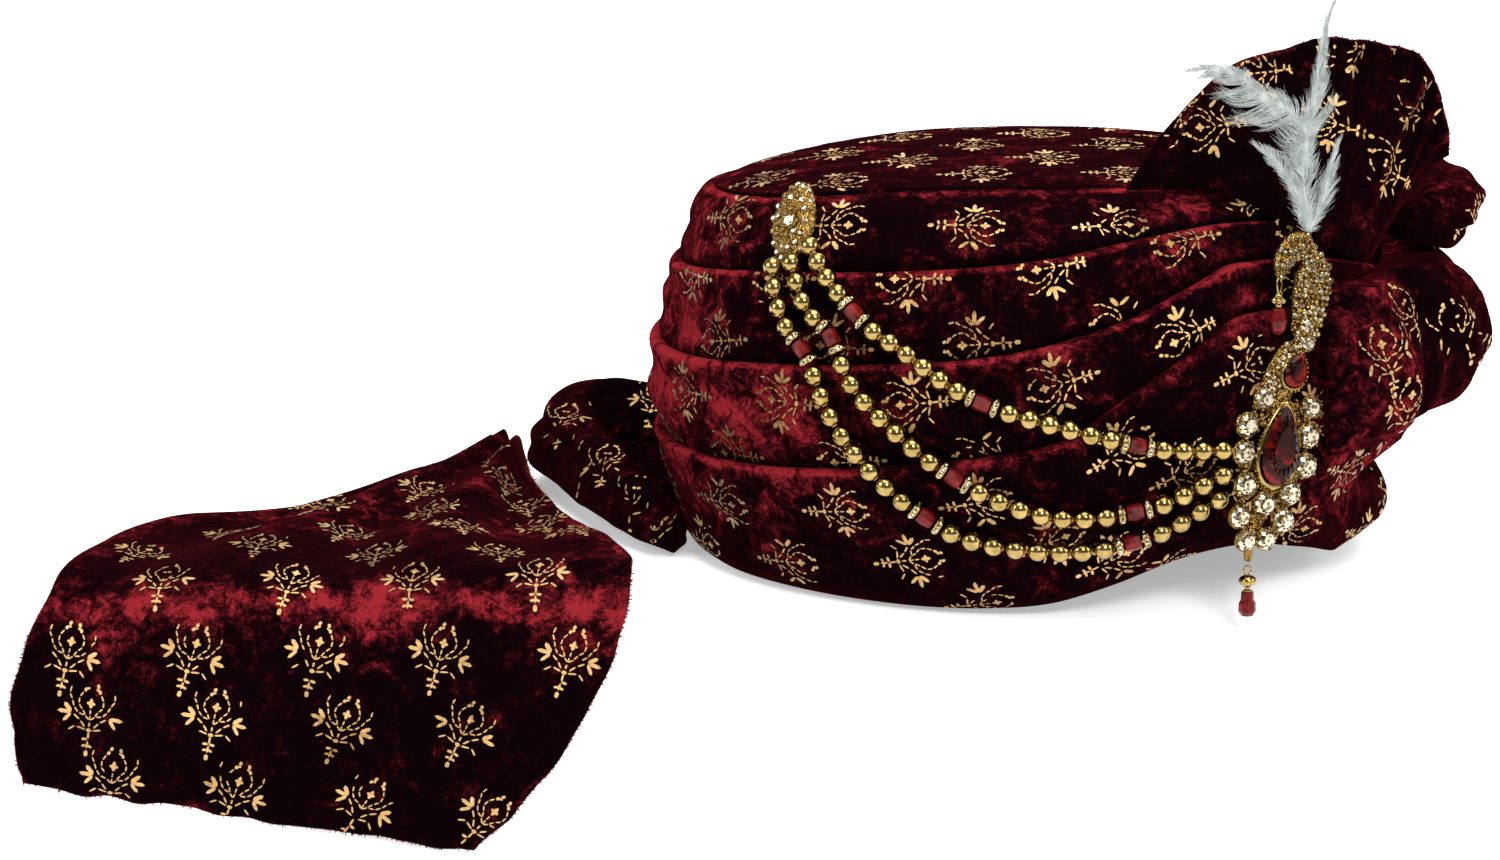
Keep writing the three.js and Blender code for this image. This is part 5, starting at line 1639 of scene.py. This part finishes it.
def stand_frame(phi, z, out, lean, tilt=0.0):
    """Frame on the body: columns are right, up, outward and the place."""
    long, wide = envelope(z)
    turn = math.radians(phi)
    normal = unit((math.cos(turn) / float(long), math.sin(turn) / float(wide), 0))
    across = np.array([-normal[1], normal[0], 0])
    face = normal * math.cos(lean) + UP * math.sin(lean)
    up = unit(np.cross(face, across))
    c, s = math.cos(tilt), math.sin(tilt)
    return np.stack([across * c - up * s, across * s + up * c, face, on_body(phi, z, out)], -1)


def kalgi_frame():
    return stand_frame(KALGI_TURN, KALGI_UP * BODY_HEIGHT, LIP_PROUD + GAP, KALGI_LEAN, KALGI_TILT)


def gem(x, y, z, outline, height):
    """Faceted stone: girdle, half-turned crown tier and table."""
    o = np.asarray(outline, float)
    half = (o + np.roll(o, -1, axis=0)) / 2
    tiers = [(o, 0.86, 0), (o, 1.0, 0.36), (half, 0.84, 0.74), (o, 0.56, 1.0)]
    n = len(o)
    rings = [np.column_stack([p * share + (x, y), np.full(n, z + height * at)]) for p, share, at in tiers]
    points = np.concatenate(rings + [[(x, y, z + height)], [(x, y, z)]])
    faces = []
    for j in range(n):
        k = (j + 1) % n
        faces.append([j, k, n + k, n + j])
        faces += [[n + j, n + k, 2 * n + j], [2 * n + j, n + k, 2 * n + k]]
        faces += [[2 * n + j, 2 * n + k, 3 * n + k], [2 * n + (j - 1) % n, 2 * n + j, 3 * n + j]]
        faces += [[3 * n + j, 3 * n + k, 4 * n], [k, j, 4 * n + 1]]
    return points, faces


def round_outline(radius, sides, turn=0.5):
    t = 2 * np.pi * (np.arange(sides) + turn) / sides
    return np.column_stack([radius * np.cos(t), radius * np.sin(t)])


def drop_outline(width, height, sides, lean):
    """Outline of a drop-cut stone, narrow at its upper end."""
    t = np.pi / 2 + 2 * np.pi * np.arange(sides) / sides
    narrow = (np.maximum(0, 1 - np.sin(t)) / 2) ** 0.55
    drop = np.column_stack([width / 2 * np.cos(t) * (0.35 + 0.82 * narrow), height / 2 * np.sin(t)])
    c, s = math.cos(lean), math.sin(lean)
    return drop @ np.array([[c, -s], [s, c]])


def grain(spot, z, radius, sides=10, rows=7):
    """Gold grain on a brooch."""
    return ball(np.array([spot[0], spot[1], z]), UP, radius, sides, rows)


def cup(x, y, z, radius, height, prongs=4, turn=0.4):
    """Round setting with a rim and prongs."""
    rows = [(height * at, radius * share) for at, share in CUP]
    parts = [turned(np.array([x, y, z]), UP, rows, 20)]
    for k in range(prongs):
        a = 2 * math.pi * (k + turn) / prongs
        spot = (x + radius * math.cos(a), y + radius * math.sin(a))
        parts.append(grain(spot, z + height * 1.15, radius * 0.17, 8, 6))
    return parts


def seed_stone(x, y, z, radius, sink, height, girdle, rng):
    """Small stone in a cup of its own."""
    gold = cup(x, y, z - sink, radius, height, 3, rng.random())
    return gold, gem(x, y, z + 0.25, round_outline(radius * girdle, 8, rng.random()), radius * 0.8)


def band(chain, thick, rows=24):
    """Domed band along a chain of places and half widths."""
    chain = np.array(chain, float)
    line = Line(route_through(np.column_stack([chain[:, :2], 0 * chain[:, 0]]), 16))
    width = route_through(np.column_stack([chain[:, 2], 0 * chain[:, 0], 0 * chain[:, 0]]), 16)[:, 0]
    rings = []
    for d in np.linspace(0, line.length, rows):
        side, w = band_side(line, width, d)
        rings.append([line.point(d) + side * w * a + UP * (thick * b) for a, b in BAND_PROFILE])
    return closed_rings(rings), line, width


def band_side(line, width, d):
    """Sideways direction and half width of a band, which narrows to both ends."""
    along = line.inner_way(d)
    narrow = min(1, 0.45 + 3 * min(d, line.length - d) / line.length)
    return np.array([-along[1], along[0], 0]), float(np.interp(d, line.at, width)) * narrow


def pave(line, width, thick, pitch, rng, radius=1.05):
    """Small stones and gold grains in rows over a band."""
    gold, stones = [], []
    for row, d in enumerate(np.arange(pitch * 0.5, line.length, pitch * 0.87)):
        side, w = band_side(line, width, d)
        count = max(1, int(2 * w / pitch + 0.6))
        for k in range(count):
            s = (k - (count - 1) / 2) * pitch + (0.3 * pitch if row % 2 else -0.3 * pitch) * (count > 1)
            p = line.point(d) + side * np.clip(s, -w * 0.95, w * 0.95)
            z = thick * (1.08 - 0.25 * (s / max(w, 0.1)) ** 2)
            if rng.random() < 0.62:
                setting, stone = seed_stone(p[0], p[1], z, radius, 0.5, 1.0, 0.86, rng)
                gold += setting
                stones.append(stone)
            else:
                gold.append(grain(p, z + 0.35, radius * rng.uniform(0.75, 1.0)))
    return gold, stones


class TurbanSmallBrooch(bpy.types.Operator):
    """Almond brooch of small stones that holds the bead strings"""

    bl_idname = "turban.small_brooch"
    bl_label = "Small brooch"

    def execute(self, context):
        rng = np.random.default_rng(5)
        place = stand_frame(BROOCH_TURN, BROOCH_UP * BODY_HEIGHT, LIP_PROUD + BROOCH_STAND, BROOCH_LEAN)
        t = np.linspace(0, 2 * np.pi, 40, endpoint=False)
        x, y = self.almond(1, np.cos(t), np.sin(t))
        rings = [np.column_stack([x * s, y * s, np.full(40, z)]) for s, z in BROOCH_PLATE]
        gold, stones = [closed_rings(rings)], []
        for share, count, radius, z in BROOCH_ROWS:
            for k in range(count):
                a = 2 * math.pi * (k + 0.25 * (share < 0.8)) / count
                x, y = self.almond(share, math.cos(a), math.sin(a))
                if rng.random() < 0.6:
                    setting, stone = seed_stone(x, y, z, radius, 0.6, 1.1, 0.85, rng)
                    gold += setting
                    stones.append(stone)
                else:
                    gold.append(grain((x, y), z + 0.3, radius * 0.95, 12, 8))
        gold += cup(0, 0, 3.2, 2.5, 1.3, 4)
        stones.append(gem(0, 0, 4.1, round_outline(2.3, 12), 1.7))
        add_parts("gold_brooch", gold, cast_gold(), ("small_brooch",), place)
        add_parts("brooch_stones", stones, cut_crystal(), ("brooch_stone",), place, smooth=False)
        return {"FINISHED"}

    def almond(self, share, cosine, sine):
        x = BROOCH_WIDTH / 2 * share * cosine * (1 - 0.12 * abs(sine))
        return x, BROOCH_HEIGHT / 2 * share * sine


class TurbanKalgi(bpy.types.Operator):
    """Gold kalgi with its rubies, crystals and drops"""

    bl_idname = "turban.kalgi"
    bl_label = "Kalgi"

    def execute(self, context):
        rng = np.random.default_rng(8)
        place = kalgi_frame()
        gold, plain, stones, rubies = [], [], [], []
        for name, chain in BANDS.items():
            thick = PLATE_THICK * (0.7 if name == "spine" else 1.0)
            solid, line, width = band(np.array(chain) * KALGI_HEIGHT, thick)
            gold.append(solid)
            if name != "spine":
                more_gold, more_stones = pave(line, width, PLATE_THICK, 2.15, rng)
                gold += more_gold
                stones += more_stones
        for i, crystal in enumerate(CRYSTALS):
            self.crystal(i, crystal, gold, plain, stones, rng)
        for a, b in zip(CRYSTALS[:4] + CRYSTALS[5:9], CRYSTALS[1:5] + CRYSTALS[6:10]):
            for share in (0.36, 0.5, 0.64):
                spot = np.array([a[0] + (b[0] - a[0]) * share, a[1] + (b[1] - a[1]) * share]) * KALGI_HEIGHT
                gold.append(grain(spot + rng.normal(0, 0.5, 2), 1.6, rng.uniform(1.1, 1.5)))
        for x, y, width, height, lean, grow in RUBIES:
            outline = drop_outline(width, height, 20, lean)
            self.ruby(x * KALGI_HEIGHT, y * KALGI_HEIGHT, outline, grow, gold, plain, rubies)
        crystals = tuple(f"crystal_{i + 1}" for i in range(len(CRYSTALS)))
        add_parts("gold_kalgi", gold, cast_gold(), ("kalgi_frame",), place)
        add_parts("gold_settings", plain, polished_gold(), (), place)
        add_parts("kalgi_crystals", stones, cut_crystal(), crystals, place, smooth=False)
        pair = ("ruby_large", "ruby_small")
        add_parts("kalgi_rubies", rubies, cut_ruby(), pair, place, smooth=False)
        self.drops(place)
        return {"FINISHED"}

    def crystal(self, i, crystal, gold, plain, stones, rng):
        """Round stone in its cup, with a bar to the spine and grains along the bar."""
        right, up, size = crystal
        x, y = right * KALGI_HEIGHT, up * KALGI_HEIGHT
        radius = CRYSTAL_RADIUS * size * 1.12
        root = min(BANDS["spine"], key=lambda p: math.hypot(p[0] - right, p[1] - up))
        foot = root[0] * KALGI_HEIGHT, root[1] * KALGI_HEIGHT
        bar = [(x, y, 1.0), ((x + foot[0]) / 2, (y + foot[1]) / 2, 0.9), (*foot, 1.0)]
        plain.append(band(bar, 1.5, 8)[0])
        gold += cup(x, y, 0.4, radius * 1.05, PLATE_THICK + 0.4, 5, 0.5 + 0.13 * i)
        stones.append(gem(x, y, PLATE_THICK + GAP, round_outline(radius, 12, 0.2 * i), STONE_HEIGHT * size))
        toward = np.array([foot[0] - x, foot[1] - y])
        aside = np.array([-toward[1], toward[0]]) / np.linalg.norm(toward)
        for share in (0.45, 0.62, 0.8, 0.95):
            for off in (-1.5, 1.5):
                spot = np.array([x, y]) + toward * share + off * aside
                gold.append(grain(spot, 1.9, rng.uniform(0.9, 1.35)))

    def ruby(self, x, y, outline, grow, gold, plain, rubies):
        """Drop-cut ruby in a plain rim with a row of grains round it."""
        rubies.append(gem(x, y, PLATE_THICK + GAP, outline, STONE_HEIGHT * 1.2 * grow))
        rim = [np.column_stack([outline * s + (x, y), np.full(20, z)]) for s, z in RUBY_RIM]
        plain.append(closed_rings(rim))
        closed = np.concatenate([outline, outline[:1]])
        ring = Line(np.column_stack([closed * 1.2 + (x, y), np.full(21, 2.3)]))
        for d in np.arange(0, ring.length, 1.5):
            gold.append(ball(ring.point(d), UP, 0.62, 8, 6))

    def drops(self, place):
        """Bead cluster with a dark drop under the hook, and the red drop at the foot."""
        down = np.array([0, -1.0, 0])
        top = np.array([-0.006 * KALGI_HEIGHT, 0.521 * KALGI_HEIGHT, PLATE_THICK / 2])
        wire = Line(route_through([top + step for step in HOOK_WIRE], 14))
        gold = [tube_along(wire, 0.32, 8, 30)]
        gold += self.cluster(top + (0, -5.4, 0), 6, 1.7, 1.15, 12, 8)
        gold.append(ball(top + (0, -4.0, 0), down, 1.5, 14, 9))
        gold.append(ball(top + (0, -6.9, 0), down, 1.3, 14, 9))
        red = [turned(top + (0, -7.4, 0), down, HOOK_STONE, 8)]
        foot = np.array([-0.108 * KALGI_HEIGHT, -0.402 * KALGI_HEIGHT, PLATE_THICK / 2])
        ring = [foot + (1.6 * math.sin(a), 1.6 * math.cos(a) - 0.2, 0) for a in np.linspace(0, 2 * np.pi, 15)]
        gold.append(tube_along(Line(ring), 0.36, 8, 30))
        gold.append(turned(foot + (0, -1.9, 0), down, PENDANT_BEAD, 14))
        gold += self.cluster(foot + (0, -3.9, 0), 7, 2.3, 1.0, 10, 7)
        gold.append(turned(foot + (0, -5.9, 0), down, PENDANT_CAP, 12))
        red.append(turned(foot + (0, -7.2, 0), down, PENDANT_STONE, 8))
        add_parts("gold_drops", gold, polished_gold(), ("hook_drop",), place)
        add_parts("red_drops", red, red_glass(), ("pendant",), place, smooth=False)

    def cluster(self, middle, count, reach, radius, sides, rows):
        """Ring of small beads round the line of a drop."""
        down = np.array([0, -1.0, 0])
        turns = [2 * math.pi * i / count for i in range(count)]
        spots = [middle + (reach * math.cos(a), 0, reach * math.sin(a)) for a in turns]
        return [ball(spot, down, radius, sides, rows) for spot in spots]


class TurbanPlume(bpy.types.Operator):
    """White feather with fine barbs"""

    bl_idname = "turban.feather_plume"
    bl_label = "Feather"

    def execute(self, context):
        sizes = context.scene.turban_plume
        rng = np.random.default_rng(3)
        root = np.array([PLUME_ROOT[0] * KALGI_HEIGHT, PLUME_ROOT[1] * KALGI_HEIGHT, PLATE_THICK / 2])
        parts = []
        for points, vane in PLUMES:
            flat = np.array(points, float)
            off = 0.11 * flat[:, 1] + 0.03 * abs(flat[:, 0])
            shaft = Line(root + route_through(np.column_stack([flat, off])))
            parts.append(tube_along(shaft, SHAFT_RADIUS, 6, 30, 0.8))
            rows = table("at left right lean", vane)
            for field, side in (("left", -1), ("right", 1)):
                parts.append(self.vane(shaft, rows, field, side, sizes, rng))
        add_parts("white_feather", parts, feather_white(), ("feather_plume",), kalgi_frame())
        return {"FINISHED"}

    def vane(self, shaft, rows, field, side, sizes, rng):
        """Fine barbs along one side of a shaft, which close up into tufts."""
        count, steps = int(sizes.barb_count * shaft.length / 92), 6
        at = np.sort(np.clip((np.arange(count) + rng.uniform(-0.5, 0.5, count)) / count, 0.004, 0.995))
        root = np.array([shaft.point(a * shaft.length) for a in at])
        along = np.array([shaft.along(np.clip(a * shaft.length, 0.4, shaft.length - 0.4)) for a in at])
        across = np.column_stack([along[:, 1], -along[:, 0], 0 * at]) * side
        tuft = np.floor(at * shaft.length / 3.6 + 0.5 * np.sin(at * 40) + 0.5).astype(int)
        tufts = rng.normal(0, 1, (tuft.max() + 2, 3))[tuft]
        lean = np.radians(read_table(rows, "at", "lean", at)) + 0.075 * tufts[:, 0]
        lean = lean + rng.normal(0, 0.025, count)
        lean += rng.normal(0, 0.22, count) * (at < 0.22)
        reach = read_table(rows, "at", field, at) * (1 + 0.1 * tufts[:, 1]) * rng.uniform(0.82, 1.06, count)
        curl = 0.045 + 0.02 * tufts[:, 2] + rng.normal(0, 0.01, count)
        lift = rng.normal(0.04, 0.07, count) + 0.05 * tufts[:, 0]
        place, rails = root.copy(), []
        for step in range(steps + 1):
            way = along * np.cos(lean)[:, None] + across * np.sin(lean)[:, None]
            way = unit(way + np.column_stack([0 * at, 0 * at, lift]))
            flat = unit(np.cross(way, (0, 0, 1))) * (sizes.barb_width / MM * (1 - 0.7 * step / steps) / 2)
            rails += [place - flat, place + flat]
            place = place + way * (reach / steps)[:, None]
            lean = lean - curl * (1 + 0.6 * step)
        points = np.stack(rails, axis=1).reshape(-1, 3)
        width = 2 * steps + 2
        firsts = [b + 2 * k for b in range(0, count * width, width) for k in range(steps)]
        return points, [[first, first + 1, first + 3, first + 2] for first in firsts]


# Settings


class VelvetSettings(bpy.types.PropertyGroup):
    # The velvet ramp runs from deep to crushed colour by the nap, so deep colour also serves as painted shade
    # and crushed colour as painted sheen and highlights
    deep_colour: FloatVectorProperty(
        name="Deep colour", description="Velvet where the pile lies flat",
        default=(0.0026, 0.0006, 0.0012), subtype="COLOR", size=3, min=0, max=1,
    )
    crushed_colour: FloatVectorProperty(
        name="Crushed colour", description="Velvet where the pile is brushed up",
        default=(0.185, 0.0115, 0.0165), subtype="COLOR", size=3, min=0, max=1,
    )
    sheen_colour: FloatVectorProperty(
        name="Sheen colour", description="Velvet seen along its surface",
        default=(0.34, 0.022, 0.03), subtype="COLOR", size=3, min=0, max=1,
    )
    sheen: FloatProperty(
        name="Sheen", description="Strength of the glow along the surface",
        default=0.2, min=0, max=1, subtype="FACTOR",
    )
    crush_size: FloatProperty(
        name="Crush size", description="Size of the crushed mottling",
        default=0.0095, min=0.003, max=0.05, unit="LENGTH",
    )
    wrinkle_depth: FloatProperty(
        name="Wrinkle depth", description="Depth of the small folds in a wrap",
        default=0.001, min=0, max=0.003, unit="LENGTH",
    )


class FoilSettings(bpy.types.PropertyGroup):
    motif_height: FloatProperty(
        name="Motif height", description="Height of one foil motif",
        default=0.0275, min=0.01, max=0.06, unit="LENGTH",
    )
    column_spacing: FloatProperty(
        name="Column spacing", description="Distance between motif columns",
        default=0.044, min=0.02, max=0.1, unit="LENGTH",
    )
    row_spacing: FloatProperty(
        name="Row spacing", description="Distance between motif rows",
        default=0.0255, min=0.01, max=0.1, unit="LENGTH",
    )
    foil_lift: FloatProperty(
        name="Foil lift", description="Height of the foil over the cloth",
        default=0.0003, min=0.0001, max=0.001, unit="LENGTH",
    )
    worn_share: FloatProperty(
        name="Worn share", description="Share of the dashes that have worn off",
        default=0.06, min=0, max=0.6, subtype="FACTOR",
    )
    foil_colour: FloatVectorProperty(
        name="Foil colour", description="Colour of the gold foil",
        default=(0.42, 0.255, 0.1), subtype="COLOR", size=3, min=0, max=1,
    )


class PlumeSettings(bpy.types.PropertyGroup):
    barb_count: IntProperty(
        name="Barbs", description="Barbs on each side of a long plume",
        default=540, min=40, max=900,
    )
    barb_width: FloatProperty(
        name="Barb width", description="Width of a barb at its root",
        default=0.00017, min=0.0001, max=0.002, unit="LENGTH",
    )


class StageSettings(bpy.types.PropertyGroup):
    edge_place: FloatProperty(
        name="Edge place", description="Where the upper floor ends",
        default=-0.104, unit="LENGTH",
    )
    lower_floor: FloatProperty(
        name="Lower floor", description="Height of the floor in front",
        default=-0.0862, unit="LENGTH",
    )
    light_power: FloatProperty(
        name="Light power", description="Power of all the soft lights",
        default=1.0, min=0, max=10,
    )
    room_light: FloatProperty(
        name="Room light", description="Strength of the pale room",
        default=0.32, min=0, max=5,
    )
    lens: FloatProperty(
        name="Lens", description="Focal length of the camera in millimetres",
        default=96, min=20, max=300,
    )


class TurbanPanel(bpy.types.Panel):
    bl_idname = "VIEW3D_PT_turban"
    bl_label = "Turban"
    bl_space_type = "VIEW_3D"
    bl_region_type = "UI"
    bl_category = "Turban"

    def draw(self, context):
        for settings in SETTINGS:
            box = self.layout.box()
            group = getattr(context.scene, settings)
            for name in group.__annotations__:
                box.prop(group, name)
        for operator in OPERATORS:
            self.layout.operator(operator.bl_idname)


SETTINGS = {
    "turban_velvet": VelvetSettings,
    "turban_foil": FoilSettings,
    "turban_plume": PlumeSettings,
    "turban_stage": StageSettings,
}
OPERATORS = (
    TurbanStage,
    TurbanWraps,
    TurbanCrown,
    TurbanGather,
    TurbanFan,
    TurbanTail,
    TurbanTailLoop,
    TurbanStrings,
    TurbanSmallBrooch,
    TurbanKalgi,
    TurbanPlume,
)


def register():
    for kind in (*SETTINGS.values(), *OPERATORS, TurbanPanel):
        bpy.utils.register_class(kind)
    for name, kind in SETTINGS.items():
        setattr(bpy.types.Scene, name, PointerProperty(type=kind))


def unregister():
    for name in SETTINGS:
        delattr(bpy.types.Scene, name)
    for kind in (TurbanPanel, *OPERATORS, *SETTINGS.values()):
        bpy.utils.unregister_class(kind)


def plain(box):
    return [[float(v) for v in corner] for corner in box]


def main():
    register()
    for operator in OPERATORS:
        group, name = operator.bl_idname.split(".")
        getattr(getattr(bpy.ops, group), name)()


if __name__ == "__main__":
    main()
